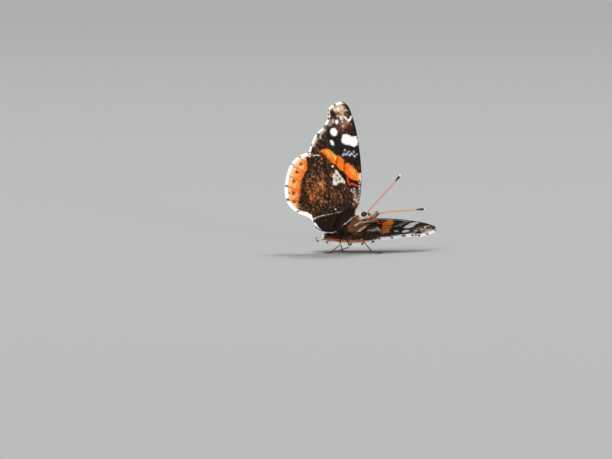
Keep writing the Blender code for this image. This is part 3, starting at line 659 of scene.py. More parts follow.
upperFore = {
    "white": [whiteBar, *foreSpots, (7.9, 24.4, 0.4, 0.6)],
    "orange": [[(-5.6, 18.6), (-3.6, 19.0), (-1.9, 18.6), (0.0, 17.6), (1.4, 16.2), (2.8, 15.0), (3.9, 13.1),
                (5.4, 10.9), (6.3, 8.8), (5.6, 7.2), (3.8, 7.6), (2.2, 9.6), (0.6, 12.0), (-1.2, 14.6),
                (-3.2, 16.6)]],
    "blue": [(0.1, [(6.0, 27.6), (7.8, 27.4)])],
    "tone": (0.08, [(1.0, 3.0, 3.5, 4.0, 0.22), (-3.0, 7.0, 2.5, 5.0, 0.1)]),
    "warmth": (0.25, [(0.0, 4.0, 4.0, 4.5, 0.35)]),
}
upperHind = {
    "orange": [[(-6.6, 17.6), (-7.2, 16.2), (-9.4, 14.6), (-11.6, 12.6), (-13.4, 10.3), (-14.4, 7.8),
                (-14.3, 5.6), (-13.2, 4.2), (-14.9, 4.2), (-16.6, 6.0), (-17.2, 8.0), (-16.4, 10.9),
                (-14.4, 13.6), (-11.8, 16.2), (-9.0, 17.6)]],
    "black": [(-9.4, 16.1, 0.45, 0.4), (-11.9, 14.2, 0.5, 0.42), (-14.0, 12.0, 0.5, 0.42),
              (-15.3, 9.3, 0.5, 0.42)],
    "blue": [(-14.0, 4.6, 0.55, 0.35, 30)],
    "tone": (0.1, [(-3.5, 4.0, 4.5, 4.0, 0.24), (-7.0, -1.0, 6.0, 2.6, 0.26)]),
    "warmth": (0.3, [(-5.0, 3.0, 6.0, 5.0, 0.35)]),
}


def wingValues(plan, marks, veins, margin):
    # What a face of the wing carries to its material: tone, warmth and the distance in mm to each mark.
    warmth = np.clip(softSum(plan, *marks["warmth"]), 0, 1.4)
    values = {"tone": softSum(plan, *marks["tone"]), "warmth": warmth, "vein": veins, "margin": margin}
    for key in markOrder:
        values[key] = marksDistance(plan, marks.get(key, []))
    return values


sheetMap = {"spread": (0.470, 0.985), "upper": (0.005, 0.005), "under": (0.495, 0.005), "rim": (0.980, 0.992)}


def makeWing(name, side, shape, bent, faceMarks, finishes, node):
    # The sheet: a grid over the flat wing, bent, given two faces a little apart, ridged along its veins and
    # joined round its rim. The outer rows stop short of the margin by the length of the fringe.
    sheet, size = wingSheet, (shape["rows"], shape["columns"])
    across = np.broadcast_to(np.linspace(0, 1, size[1]), size)
    along = np.broadcast_to(np.linspace(0, 1, size[0])[:, None], size)
    span = np.linalg.norm(np.diff(wingPlan(shape, along, across), axis=0), axis=2).sum(0)
    plan = wingPlan(shape, along * (1 - shape["fringe"] / np.maximum(span, 2.0)), across)
    full = wingPlan(shape, np.ones((1, size[1])), across[:1])[0]
    flat = plan.reshape(-1, 2)
    veins = np.min([lineDistance(flat, line) for line in shape["veins"]], axis=0)
    margins = lineDistance(flat, shape["outer"])
    costa = lineDistance(flat, shape["costa"]).reshape(size)
    vein, margin = veins.reshape(size), margins.reshape(size)

    surface = bent(plan)
    dorsal = gridNormals(surface)
    curl = sheet["curl"][side] * np.clip(1 - (margin - shape["fringe"]) / sheet["curlReach"], 0, 1)**2
    surface = surface - dorsal * curl[..., None]
    billow = (sheet["billow"] * (ease(0, sheet["billowVein"], vein) - 0.5)
              * ease(0, sheet["billowMargin"], margin))
    half = (sheet["edgeThick"]
            + (sheet["halfThick"] - sheet["edgeThick"]) * ease(0, sheet["thickReach"], margin)
            + sheet["veinRise"] * hill(vein, sheet["veinReach"])
            + sheet["costaRise"] * hill(costa, sheet["costaReach"]))
    faces = [surface + dorsal * (billow + way * half)[..., None] for way in (1, -1)]

    index = np.arange(len(flat)).reshape(size)
    quads = np.stack([index[:-1, :-1], index[1:, :-1], index[1:, 1:], index[:-1, 1:]], -1).reshape(-1, 4)
    rim = np.concatenate([index[0, :], index[1:, -1], index[-1, -2::-1], index[-2:0:-1, 0]])
    turned, shift, count = np.roll(rim, -1), len(flat), len(rim)
    faceSets = [quads[:, ::-1], quads + shift, np.stack([rim, turned, turned + shift, rim + shift], -1)]
    low, high = flat.min(0), flat.max(0)
    place = (flat - low) / (high - low) * sheetMap["spread"]
    share = np.arange(count + 1) / count * sheetMap["spread"][1] + sheetMap["upper"][1]
    near, far = sheetMap["rim"]
    rimUv = np.stack([np.stack([np.full(count, x), share[first:count + first]], -1)
                      for x, first in ((near, 0), (near, 1), (far, 1), (far, 0))], 1)
    uvSets = [(place + sheetMap["upper"])[quads[:, ::-1]], (place + sheetMap["under"])[quads], rimUv]
    # On the left wings the margin is read as nearer, so the white edge grows wider there: a painted
    # highlight.
    top, bottom = (wingValues(flat, marks, veins, margins - sheet["paintedEdgeHighlight"][side]) for marks in faceMarks)
    values = {key: np.concatenate([top[key], bottom[key]]) for key in top}
    apart = np.repeat([7.0, 0.0], shift) + (3.0 if side > 0 else 0.0)  # so that no faces share their noise
    values["plan"] = np.column_stack([np.tile(flat, (2, 1)), apart])
    points = mirrored(np.concatenate([grid.reshape(-1, 3) for grid in faces]), side)
    faceFinish = np.repeat([0, 1, 1], [len(quads), len(quads), count])
    addPiece(name, points, faceSets, finishes, [node], values, uvSets, faceFinish)
    return {"surface": surface, "dorsal": dorsal, "plan": plan, "full": full, "low": low, "high": high,
            "side": side}


foreFinishes = [wingFinish("upperForeScales", upperForeColors),
                wingFinish("underForeScales", underForeColors)]
hindFinishes = [wingFinish("upperHindScales", upperHindColors),
                wingFinish("underHindScales", underHindColors)]
wings = {}
for side, word in bothSides:
    # Only the left fore wing's underside gets the painted costa highlight.
    under = dict(underFore, white=underFore["white"] + [paintedCostaGlint]) if side > 0 else underFore
    wings["fore", side] = makeWing("forewingSheet_" + word, side, foreWing, bladePoint, (upperFore, under),
                                   foreFinishes, "forewing_" + word)
    wings["hind", side] = makeWing("hindwingSheet_" + word, side, hindWing, softFold, (upperHind, underHind),
                                   hindFinishes, "hindwing_" + word)
print("wings made")

# Stations along the body in mm: forward, height, half width and half depth of the skin under the hair. The
# shoulders are ridges up to the wing roots: forward, degrees above sideways, reach from the middle.
bodySkin = {
    "stations": [(5.12, 0.38, 0.1, 0.12), (5.02, 0.38, 0.42, 0.52), (4.72, 0.4, 0.74, 0.98),
                 (4.3, 0.43, 0.94, 1.3), (3.8, 0.44, 0.98, 1.38), (3.3, 0.42, 0.98, 1.26),
                 (2.9, 0.35, 1.0, 1.12), (2.5, 0.22, 1.15, 1.3), (2.0, 0.08, 1.48, 1.76),
                 (1.2, -0.02, 1.86, 2.28), (0.0, -0.1, 2.02, 2.5), (-1.5, -0.2, 2.04, 2.52),
                 (-3.0, -0.26, 1.84, 2.28), (-4.0, -0.16, 1.46, 1.7), (-4.6, 0.08, 1.1, 1.18),
                 (-5.2, 0.46, 1.14, 1.22), (-6.0, 0.9, 1.38, 1.46), (-7.3, 1.55, 1.56, 1.64),
                 (-8.8, 2.29, 1.5, 1.58), (-10.3, 3.02, 1.18, 1.24), (-11.4, 3.55, 0.76, 0.8),
                 (-11.95, 3.82, 0.4, 0.42), (-12.12, 3.91, 0.12, 0.12)],
    "rings": 300, "sides": 120, "beltPitch": 0.92, "beltDepth": 0.05, "square": 0.1,
    "shoulders": [(2.3, 50.0, 1.6), (1.7, 50.0, 2.75), (0.9, 46.0, 3.1), (0.0, 42.0, 3.25), (-1.0, 38.0, 3.3),
                  (-1.9, 34.0, 3.15), (-3.0, 14.0, 2.9), (-3.9, -6.0, 2.45), (-4.7, -16.0, 1.2)],
    "shoulderWidth": 15.0,
}


def skinGrid(shape):
    # Ellipses, a little squared over the thorax, carried along a curve through the stations and square to it,
    # with shallow belts on the abdomen. Each shoulder draws the points near its angle out to its own reach.
    line = evenly(shape["stations"], shape["rings"])
    level = np.zeros(len(line))
    path = np.stack([line[:, 0], level, line[:, 1]], -1)
    ahead = unit(np.gradient(path, axis=0))
    above = np.stack([-ahead[:, 2], level, ahead[:, 0]], -1)
    above *= np.sign(above[:, 2:])
    belt = np.abs(np.cos(line[:, 0] * math.pi / shape["beltPitch"]))**6 * ease(-4.8, -5.6, line[:, 0])
    size = line[:, 2:] * (1 - shape["beltDepth"] * belt)[:, None]
    thorax = ease(-4.8, -3.4, line[:, 0]) * (1 - ease(1.4, 2.4, line[:, 0]))
    turn = np.arange(shape["sides"]) * fullTurn / shape["sides"]
    square = 1 + shape["square"] * thorax[:, None] * np.abs(np.sin(2 * turn))[None]**2
    across, height = np.cos(turn)[None] * size[:, :1] * square, np.sin(turn)[None] * size[:, 1:] * square
    forward, angle, reach = np.array(shape["shoulders"])[::-1].T
    angle, reach = (np.interp(line[:, 0], forward, array)[:, None] for array in (angle, reach))
    inside = (line[:, 0] > forward[0]) & (line[:, 0] < forward[-1])
    away = np.degrees(np.arctan2(height, np.abs(across))) - angle
    long = np.hypot(across, height)
    grow = 1 + hill(away, shape["shoulderWidth"]) * inside[:, None] * np.maximum(reach - long, 0) / long
    return (path[:, None] + (across * grow)[..., None] * np.array((0.0, 1.0, 0.0))
            + (height * grow)[..., None] * above[:, None])


# Lines on the side of the thorax and of the head as (forward, height), and the middle line of the body.
bodyLines = {"stripe": ([-4.0, -2.1, -0.7, 0.65, 2.0, 2.3], [-2.5, -2.2, -1.85, -1.2, -0.1, 0.7]),
             "middle": ([-12.3, -5.0, 0.0, 5.0], [4.0, 0.4, -0.1, 0.4]), "cheek": ([2.6, 5.1], [-0.68, 0.24])}
# Where parts of the pattern begin and end along the body, and how wide the lines are.
bodyMarks = {"waist": (-5.2, -4.4), "neck": (2.3, 2.7), "stripeFrom": (-2.9, -1.6), "stripeWide": 0.22,
             "lineFrom": (-1.8, -0.6), "lineWide": 0.20, "lineBelow": 0.50, "breastFrom": (-3.5, -1.0),
             "collarFrom": (1.45, 2.0), "collarTo": (2.5, 2.9), "crownTo": (4.4, 4.9)}
# Tones, 0 dark and 1 white.
bodyTones = {"flank": 0.05, "breast": 0.16, "breastFront": 0.24, "back": 0.20, "stripe": 0.96, "collar": 0.98,
             "face": 0.36, "chin": 0.16, "tail": 0.10, "tailUnder": 0.14}


def bodyValues(points, u):
    # Tone and warmth over the body. The flank is dark down to a pale stripe with a black line under it, then
    # the breast is tan. The collar, the top of the head and a line on the cheek are white, the back brown.
    x, y, z = points[:, 0], np.abs(points[:, 1]), points[:, 2]
    middle = np.interp(x, *bodyLines["middle"])
    down = (middle - z) / np.maximum(np.hypot(y, z - middle), 0.1)
    marks, tones = bodyMarks, bodyTones
    head = ease(*marks["neck"], x)
    thorax = ease(*marks["waist"], x) * (1 - head)
    off = z - np.interp(x, *bodyLines["stripe"])
    pale = hill(off, marks["stripeWide"]) * ease(*marks["stripeFrom"], x)
    line = hill(off + marks["lineBelow"], marks["lineWide"]) * ease(*marks["lineFrom"], x)
    breast, back = 1 - ease(-0.7, -0.2, off), ease(0.55, 0.9, -down)
    side = (tones["flank"] + tones["breastFront"] * breast * ease(*marks["breastFrom"], x)
            + tones["breast"] * breast + tones["back"] * back)
    side = (side + (tones["stripe"] - side) * pale) * (1 - line)
    collar = ease(*marks["collarFrom"], x) * (1 - ease(*marks["collarTo"], x)) * ease(0.0, 0.7, z)
    cheek = hill(z - np.interp(x, *bodyLines["cheek"]), 0.20) * ease(0.25, 0.45, y)
    white = np.maximum(cheek, ease(0.9, 1.25, z) * (1 - ease(*marks["crownTo"], x)))
    face = tones["face"] + tones["chin"] * ease(0.2, -0.4, z)
    face = face + (1.0 - face) * white
    tail = tones["tail"] + tones["tailUnder"] * ease(0.5, 0.9, down)
    tone = thorax * side + head * face + (1 - thorax - head) * tail
    tone = tone + (tones["collar"] - tone) * collar
    warmth = (0.30 + (0.22 * back + 0.12 * breast - 0.2 * pale) * thorax + 0.32 * head * (1 - white)
              - 0.25 * collar - 0.25 * head * white)
    return {"tone": np.clip(tone, 0, 1), "warmth": np.clip(warmth, 0, 1)}


def hairFinish(name, spread):
    # Hair and skin share this: the tone and warmth of the place, a shade for each tuft and paler tips.
    made = Finish(name, Roughness=0.7, Specular_IOR_Level=0.2)
    patchy = made.noise(made.place(), 1.4, 3.0, 0.6)
    tone = (made.value("tone") + (made.value("shade") - 0.5) * spread + (patchy - 0.5) * 0.22
            + (made.value("outward") - 0.4) * 0.10)
    made.feed("Base Color", made.scaleColor(tone, made.value("warmth")))
    made.feed("Roughness", 0.55 + patchy * 0.3)
    made.bump(made.noise(made.place(), 14.0, 3.0, 0.6), 0.35, 0.05)
    return made.material


def makeSkin(name, rings, finish, values, nodes, dim=1.0):
    # A closed tube of skin with its values, and the grids that its coat grows on. In those the first column
    # comes again at the end, so that places can be read all the way round.
    count, sides = rings.shape[:2]
    carried = values(rings.reshape(-1, 3), np.repeat(np.linspace(0, 1, count), sides))
    grids = {key: array.reshape(count, sides) for key, array in carried.items()}
    grids["tone"] = grids["tone"] * dim
    grids["shade"], grids["outward"] = np.full((count, sides), 0.45), np.zeros((count, sides))
    ringPiece(name, rings, finish, nodes, grids)
    closed = np.concatenate([rings, rings[:, :1]], 1)
    out = gridNormals(closed)
    away = closed - rings.mean(1, keepdims=True)
    return closed, out * np.sign(np.einsum("ijk,ijk->ij", out, away).mean())


def even(tone, warmth):  # the same tone and warmth all over a coat
    return lambda points, u: {"tone": np.full(len(u), tone), "warmth": np.full(len(u), warmth)}


def toward(*way):  # every tuft lies the same way
    return lambda points, u, v: np.broadcast_to(np.array(way), points.shape)


def everywhere(points):  # 1 at every point
    return np.ones(len(points))


# What the coats have in common: share of stray direction, bend by length, widths along a tuft, how deep its
# root sits, its least lift and length with what chance adds, and where it gets its tone, lie and density.
tuft = {"stray": 0.25, "bend": -0.12, "widths": (0.75, 1.0, 0.72, 0.12), "sink": 0.04, "slot": "body_hair",
        "lifts": (0.7, 0.6), "lengths": (0.75, 0.5),
        "values": bodyValues, "lie": toward(-1.0, 0.0, -0.25), "place": everywhere}


def scatter(grid, count, density):
    # Places on a grid of points, as likely anywhere by area, times the density of that place.
    middle = (grid[:-1, :-1] + grid[1:, 1:]) / 2
    area = np.linalg.norm(np.cross(grid[1:, :-1] - grid[:-1, :-1], grid[:-1, 1:] - grid[:-1, :-1]), axis=2)
    total = np.cumsum(area.ravel() * density(middle.reshape(-1, 3)))
    pick = np.searchsorted(total, (np.arange(count) + dice.random(count)) / count * total[-1])
    i, j = np.unravel_index(np.minimum(pick, area.size - 1), area.shape)
    return (i + dice.random(count)) / area.shape[0], (j + dice.random(count)) / area.shape[1]


def growCoat(name, grid, normals, coat, finish, side=1):
    # Tufts over a grid. Each starts just under the skin, leaves it at the coat's lift and follows the lie.
    u, v = scatter(grid, coat["count"], coat["place"])
    roots, out = readGrid(grid, u, v), unit(readGrid(normals, u, v))
    trend = coat["lie"](roots, u, v)
    trend = unit(trend - out * np.einsum("ij,ij->i", trend, out)[:, None])
    trend = unit(trend + coat["stray"] * dice.normal(size=roots.shape))
    (least, more), (short, longer) = coat["lifts"], coat["lengths"]
    lift = np.radians(coat["lift"] * (least + more * dice.random(len(roots))))[:, None]
    along = unit(trend * np.cos(lift) + out * np.sin(lift))
    size = coat["length"](roots) if callable(coat["length"]) else coat["length"]
    size = size * (short + longer * dice.random(len(roots)))
    roots, along, out = (mirrored(array, side) for array in (roots - out * coat["sink"], along, out))
    values = dict(coat["values"](mirrored(roots, side), u), shade=dice.random(len(roots)))
    addVanes(name, coat, roots, along, out, size, np.stack([u, v], -1), finish, values)


eyeShape = {"middle": (4.04, 1.12, 0.30), "half": (0.82, 0.64, 0.77), "rings": 40, "sides": 56, "pole": 0.06}


def nearEye(points):  # 1 on the ball of the nearer eye, more outside it
    away = np.column_stack([points[:, 0], np.abs(points[:, 1]), points[:, 2]])
    return np.linalg.norm((away - eyeShape["middle"]) / np.array(eyeShape["half"]), axis=1)


def within(points, low, high):  # 1 from one place along the body to another
    return ((points[:, 0] > low) & (points[:, 0] < high)) * 1.0


def shoulderPlace(points):  # 1 on the ridges up to the wings
    forward, angle, _ = np.array(bodySkin["shoulders"])[::-1].T
    here = np.degrees(np.arctan2(points[:, 2] + 0.15, np.abs(points[:, 1])))
    return (np.abs(here - np.interp(points[:, 0], forward, angle)) < 26) * within(points, -4.6, 1.9)


def bodyLength(points):  # shorter over the abdomen and the head than over the thorax
    return np.interp(points[:, 0], [-5.0, -4.0, 1.5, 2.6], [0.42, 0.72, 0.72, 0.50])


def headLength(points):  # longer on the crown
    return 0.34 + 0.22 * ease(0.8, 1.3, points[:, 2]) * (1 - ease(4.0, 4.8, points[:, 0]))


def ringPlace(points):  # 1 in a ring round each eye, except in front of it
    near = nearEye(points)
    return ((near > 1.0) & (near < 1.45) & (points[:, 0] < 4.7)) * 1.0


def browPlace(points):  # 1 on the crown just above each eye
    near = nearEye(points)
    return ((near > 1.0) & (near < 1.75) & (points[:, 2] > 0.75) & (points[:, 0] < 4.6)) * 1.0


def outward(forward, up):  # a lie to each side's own outside
    return lambda points, u, v: np.column_stack([0 * u + forward, np.sign(points[:, 1]), 0 * u + up])


def headLie(points, u, v):  # up above the middle of the head, down below it, and forward
    return np.array((0.2, 0.0, 1.0)) * np.sign(points[:, 2:] - 0.2) + np.array((0.5, 0.0, 0.0))


def awayFromEye(points, u, v):  # from the middle of the nearer eye to each point
    forward, across, up = eyeShape["middle"]
    return points - np.column_stack([0 * u + forward, np.sign(points[:, 1]) * across, 0 * u + up])


eyeRing = dict(tuft, count=900, width=0.06, thick=0.035, lift=55.0, bend=-0.2, length=0.55,
               values=even(1.05, 0.0), lie=awayFromEye, place=ringPlace)
bodyCoats = {
    "bodyCoat": dict(tuft, count=9200, width=0.085, thick=0.05, lift=22.0, bend=-0.16, length=bodyLength,
                     place=lambda points: within(points, -4.9, 2.7)),
    "shoulderCoat": dict(tuft, count=3600, width=0.09, thick=0.05, lift=30.0, bend=-0.10, length=0.95,
                         values=even(0.06, 0.35), lie=outward(-0.55, 0.5), place=shoulderPlace),
    "headCoat": dict(tuft, count=4200, width=0.06, thick=0.035, lift=34.0, length=headLength, lie=headLie,
                     place=lambda points: (points[:, 0] >= 2.6) * (nearEye(points) > 1.0) * 1.0),
    "abdomenCoat": dict(tuft, count=7600, width=0.11, thick=0.03, lift=11.0, bend=-0.08, length=0.40,
                        widths=(0.8, 1.0, 0.9, 0.35), place=lambda points: (points[:, 0] <= -4.7) * 1.0),
    "collarCoat": dict(tuft, count=1300, width=0.085, thick=0.05, lift=52.0, bend=-0.25, length=1.05,
                       values=even(0.97, 0.10), lie=toward(0.15, 0.0, 1.0),
                       place=lambda points: within(points, 1.5, 2.9) * (points[:, 2] > 0.5)),
    "eyeRingCoat": eyeRing,
    "browCoat": dict(eyeRing, count=420, lift=50.0, bend=-0.45, length=0.62, lie=outward(0.1, -0.6),
                     place=browPlace),
}
hair = hairFinish("bodyHair", 0.32)
skin, skinOut = makeSkin("bodySkin", skinGrid(bodySkin), hair, bodyValues,
                         ("thorax", "head", "abdomen"), dim=0.8)
for name, coat in bodyCoats.items():
    growCoat(name, skin, skinOut, coat, hair)
print("body made")


def eyeFinish():
    # A dark, glossy, red-brown ball of small facets with faint darker bands.
    made = Finish("eyeFacets", Roughness=0.28, Coat_Weight=0.12, Coat_Roughness=0.05, Specular_IOR_Level=0.3)
    band = made.noise(made.place(), 1.1, 2.0)
    made.feed("Base Color", made.mix(band, (0.006, 0.003, 0.002), (0.045, 0.012, 0.007)))
    made.bump(1.0 - made.cells(made.place(), 16.0), 0.35, 0.03)
    return made.material


eyeGloss = eyeFinish()
for side, word in bothSides:
    # An ellipsoid in rings from its rear pole to its front pole.
    turn = np.linspace(eyeShape["pole"], math.pi - eyeShape["pole"], eyeShape["rings"])[:, None]
    around = (np.arange(eyeShape["sides"]) * fullTurn / eyeShape["sides"])[None, :]
    ball = np.broadcast_arrays(-np.cos(turn), np.sin(turn) * np.cos(around), np.sin(turn) * np.sin(around))
    ball = np.stack(ball, -1) * np.array(eyeShape["half"]) + mirrored(eyeShape["middle"], side)
    ringPiece("compoundEye_" + word, ball, eyeGloss, ["eye_" + word], {})

palpShape = {"path": [(4.9, 0.5, -1.25), (6.4, 0.52, -0.75), (8.0, 0.4, 0.35)], "radius": 0.32}
forelegShape = {"path": [(0.5, 1.15, -3.1), (1.8, 1.1, -2.8), (3.3, 1.0, -2.2), (4.5, 0.95, -2.05)],
                "radii": [0.20, 0.40, 0.34, 0.18]}
limbShape = {"rings": 60, "sides": 24, "roundEnds": 8, "taper": 0.45}


def offPath(points, shape, radius):  # how far above and outside the limb's middle line, in radii
    path = evenly(shape["path"], 40)
    nearest = path[np.argmin(np.abs(points[:, :1] - path[None, :, 0]), axis=1)]
    return (points[:, 2] - nearest[:, 2]) / radius, (np.abs(points[:, 1]) - nearest[:, 1]) / radius


def palpValues(points, u):
    # A white stripe along the outer lower side, orange-brown above and dark towards the tip.
    up, outer = offPath(points, palpShape, 0.3)
    stripe = hill(up + 0.35, 0.35) * ease(-0.2, 0.4, outer)
    tone = 0.50 + 0.55 * stripe - 0.26 * ease(7.0, 8.0, points[:, 0]) - 0.14 * ease(0.2, 0.9, up)
    return {"tone": np.clip(tone, 0, 1.1), "warmth": np.clip(0.85 - 0.95 * stripe, 0, 1)}


def forelegValues(points, u):
    # Buff with a cream outer line and a dark line above it.
    up = offPath(points, forelegShape, 0.35)[0]
    cream, dark = hill(up + 0.85, 0.24), hill(up + 0.35, 0.16)
    tone = 0.50 + 0.30 * cream - 0.40 * dark
    return {"tone": np.clip(tone, 0, 1), "warmth": np.clip(0.55 - 0.45 * cream, 0, 1)}


def palpLength(points):  # shorter towards the tip
    return np.interp(points[:, 0], [5.0, 7.0, 8.0], [0.34, 0.30, 0.22])


limbTuft = dict(tuft, thick=0.035, lift=20.0, bend=-0.1, slot="palp_hair")
palpCoat = dict(limbTuft, count=1700, width=0.05, length=palpLength, values=palpValues,
                lie=toward(1.0, 0.0, 0.45))
forelegCoat = dict(limbTuft, count=1500, width=0.055, length=0.36, values=forelegValues,
                   lie=toward(1.0, 0.0, 0.2))
palpHair = hairFinish("palpHair", 0.24)
share = np.linspace(0, 1, limbShape["rings"])
roundEnds = np.sqrt(np.clip(1 - (2 * share - 1)**limbShape["roundEnds"], 0.02, 1))
palpRadii = palpShape["radius"] * roundEnds * (1 - limbShape["taper"] * share**2)
forelegRadii = np.interp(share, np.linspace(0, 1, 4), forelegShape["radii"]) * roundEnds
for side, word in bothSides:
    for part, shape, radii, coat in (("palp", palpShape, palpRadii, palpCoat),
                                     ("foreleg", forelegShape, forelegRadii, forelegCoat)):
        path = evenly([mirrored(point, side) for point in shape["path"]], limbShape["rings"])
        grid, out = makeSkin(part + "Skin_" + word, tubeRings(path, radii, limbShape["sides"]), palpHair,
                             coat["values"], [part + "_" + word])
        growCoat(part + "Coat_" + word, grid, out, coat, palpHair)

feeler = {"path": [(4.55, 0.48, 1.30), (12.1, 3.8, 2.92), (18.5, 6.93, 3.9)], "rings": 420, "sides": 20,
          "shaft": 0.165, "club": 0.37, "clubLength": 2.7, "ringPitch": 0.34, "ringDepth": 0.05, "tip": 0.4,
          "sway": 0.10, "swayTurns": 2.2}


def feelerFinish():
    # Orange-brown, ringed with dark scales, then a black club with a cream tip, all by the length left to
    # the tip.
    made = Finish("antennaScales", Roughness=0.55)
    toTip, speckle = made.value("toTip"), made.noise(made.place(), 9.0, 2.0)
    rings = (toTip * (fullTurn / feeler["ringPitch"])).sine()
    shaft = made.mix(made.between(0.45, 1.0, rings * 0.5 + 0.5), (0.80, 0.25, 0.10), (0.40, 0.10, 0.04))
    shaft = made.mix(made.between(0.45, 0.75, speckle) * 0.35, shaft, (0.90, 0.62, 0.42))
    club = made.mix(speckle * 0.4, (0.012, 0.008, 0.006), (0.10, 0.06, 0.04))
    color = made.mix(made.between(2.7, 2.15, toTip + (speckle - 0.5) * 0.5), shaft, club)
    made.feed("Base Color", made.mix(made.between(0.52, 0.34, toTip), color, (0.92, 0.74, 0.58)))
    made.feed("Roughness", 0.45 + speckle * 0.2)
    made.bump(rings * 0.4 + speckle * 0.3, 0.4, 0.03)
    return made.material


feelerScales = feelerFinish()
for side, word in bothSides:
    # A thin tube whose radius grows into the club near its end and closes round its tip.
    path = evenly([mirrored(point, side) for point in feeler["path"]], feeler["rings"])
    toTip = np.linalg.norm(path - path[-1], axis=1)
    swell = ease(0.0, 1.0, 1.12 - toTip / feeler["clubLength"])
    closing = np.sqrt(np.clip(1 - (1 - toTip / feeler["tip"])**2 * (toTip < feeler["tip"]), 0.04, 1))
    radii = (feeler["shaft"] + (feeler["club"] - feeler["shaft"]) * swell) * closing
    radii = radii * (1 + feeler["ringDepth"] * np.cos(toTip * fullTurn / feeler["ringPitch"]))
    path[:, 2] += feeler["sway"] * np.sin(np.linspace(0, 1, len(path)) * math.pi * feeler["swayTurns"])
    rings = tubeRings(path, radii, feeler["sides"])
    ringPiece("antennaTube_" + word, rings, feelerScales, ["antenna_" + word],
              {"toTip": np.repeat(toTip[:, None], feeler["sides"], 1)})
print("eyes, palps and antennae made")

# Hips in the body frame, then knee, ankle, toe joint and toe above the floor, measured from under the thorax.
legs = {
    "midleg_right": {"hip": (-1.9, -1.15, -2.65),
                     "steps": [(-1.0, -2.7, 2.0), (-4.1, 0.9, 0.78), (-6.2, 3.3, 0.135),
                               (-7.75, 4.85, 0.12)]},
    "hindleg_right": {"hip": (-3.7, -1.1, -2.05),
                      "steps": [(-3.4, -3.35, 2.75), (-5.45, 0.05, 0.9), (-6.9, 2.1, 0.135),
                                (-7.85, 3.35, 0.12)]},
    "midleg_left": {"hip": (-1.9, 1.15, -2.65),
                    "steps": [(2.4, 0.8, 4.0), (5.0, 1.5, 0.78), (6.2, 1.8, 0.135), (8.15, 2.25, 0.12)]},
    "hindleg_left": {"hip": (-3.7, 1.1, -2.05),
                     "steps": [(-3.6, 3.7, 3.2), (-2.9, 7.6, 0.78), (-2.6, 8.9, 0.135),
                               (-1.95, 11.15, 0.12)]},
}
# Radii in mm, what each part loses along the way, the bulge of the beads of the foot, and the least height of
# a spine's root above the floor.
legShape = {"thigh": 0.25, "knee": 0.16, "foot": 0.105, "thin": 0.28, "waist": 0.25, "bead": 0.16,
            "beads": 2.5, "toe": (0.85, 0.6, 0.25), "sides": 16, "perPart": 26, "gap": 0.10, "clear": 0.16}
spine = dict(tuft, count=588, width=0.035, thick=0.028, lift=22.0, bend=-0.05, stray=0.12, length=0.20,
             slot="leg")


def legFinish():
    # The tone and warmth of the place, speckled.
    made = Finish("legShell", Roughness=0.6, Specular_IOR_Level=0.2)
    speckle = made.noise(made.place(), 7.0, 3.0)
    tone = made.value("tone") + (speckle - 0.5) * 0.30
    made.feed("Base Color", made.scaleColor(tone, made.value("warmth")))
    made.feed("Roughness", 0.5 + speckle * 0.3)
    made.bump(speckle, 0.3, 0.03)
    return made.material


def makeLeg(name, leg, finish):
    # Hip, thigh, shin and a foot of beads as one tube that starts inside the body, with spines all over.
    hip, shape = np.array(leg["hip"]), legShape
    steps = (np.array(leg["steps"]) + bodyPlace * (1, 1, 0) - bodyPlace) @ bodyTurn
    corners = np.concatenate([[hip * (0.96, 0.30, 0.25), hip], steps])
    share = np.linspace(0, 1, shape["perPart"])
    swell, thinner = np.sin(share * math.pi), 1 - shape["thin"] * share
    thigh = shape["thigh"] * (1 - shape["thin"] * (1 - swell)) * thinner
    shin = shape["knee"] * (1 - shape["waist"] * swell) * (1 - 0.06 * share)
    foot = shape["foot"] * (1 + shape["bead"] * np.abs(np.sin(share * math.pi * shape["beads"])))
    radii = np.concatenate([shape["thigh"] * thinner, thigh, shin, foot, foot])
    radii[-3:] *= shape["toe"]
    tones = np.concatenate([0.02 + 0 * share, 0.03 + 0.80 * ease(0.88, 1.0, share),
                            0.62 - 0.38 * ease(0.0, 0.25, share), 0.30 + 0 * share, 0.28 + 0 * share])
    paths = []
    for start, stop in zip(corners, corners[1:]):
        cut = min(shape["gap"] / np.linalg.norm(stop - start), 0.2)
        paths.append(start + (stop - start) * (cut + (1 - 2 * cut) * share)[:, None])
    path = np.concatenate(paths)
    trend = unit(np.gradient(path, axis=0))

    def legValues(darker):  # tones by the share of the way down the leg
        def values(points, u):
            tone = np.interp(u, np.linspace(0, 1, len(path)), tones)
            return {"tone": np.clip(tone - darker, 0, 1), "warmth": np.clip(tone * 1.3, 0.3, 0.85)}

        return values

    def downLeg(points, u, v):
        return trend[np.argmin(np.linalg.norm(points[:, None] - path[None], axis=2), axis=1)]

    def clear(points):  # none where a spine would reach under the floor
        return (toFloor(points)[:, 2] / mm > shape["clear"]) * 1.0

    rings = tubeRings(path, radii, shape["sides"])
    closed, out = makeSkin(name + "Shell", rings, finish, legValues(0.0), [name])
    spines = dict(spine, values=legValues(0.05), lie=downLeg, place=clear)
    growCoat(name + "Spines", closed, out, spines, finish)


legShell = legFinish()
for name, leg in legs.items():
    makeLeg(name, leg, legShell)


def hipPlace(points):  # 1 round each hip, on the skin
    hips = np.array([leg["hip"] for leg in legs.values()]) * (1.0, 0.9, 0.9)
    return (np.linalg.norm(points[:, None] - hips[None], axis=2).min(1) < 1.1) * 1.0


hipCoat = dict(tuft, count=1500, width=0.08, thick=0.045, lift=38.0, bend=-0.10, length=0.85,
               values=even(0.05, 0.3), lie=toward(-0.3, 0.0, -1.0), place=hipPlace)
growCoat("hipCoat", skin, skinOut, hipCoat, hair)
print("legs made")

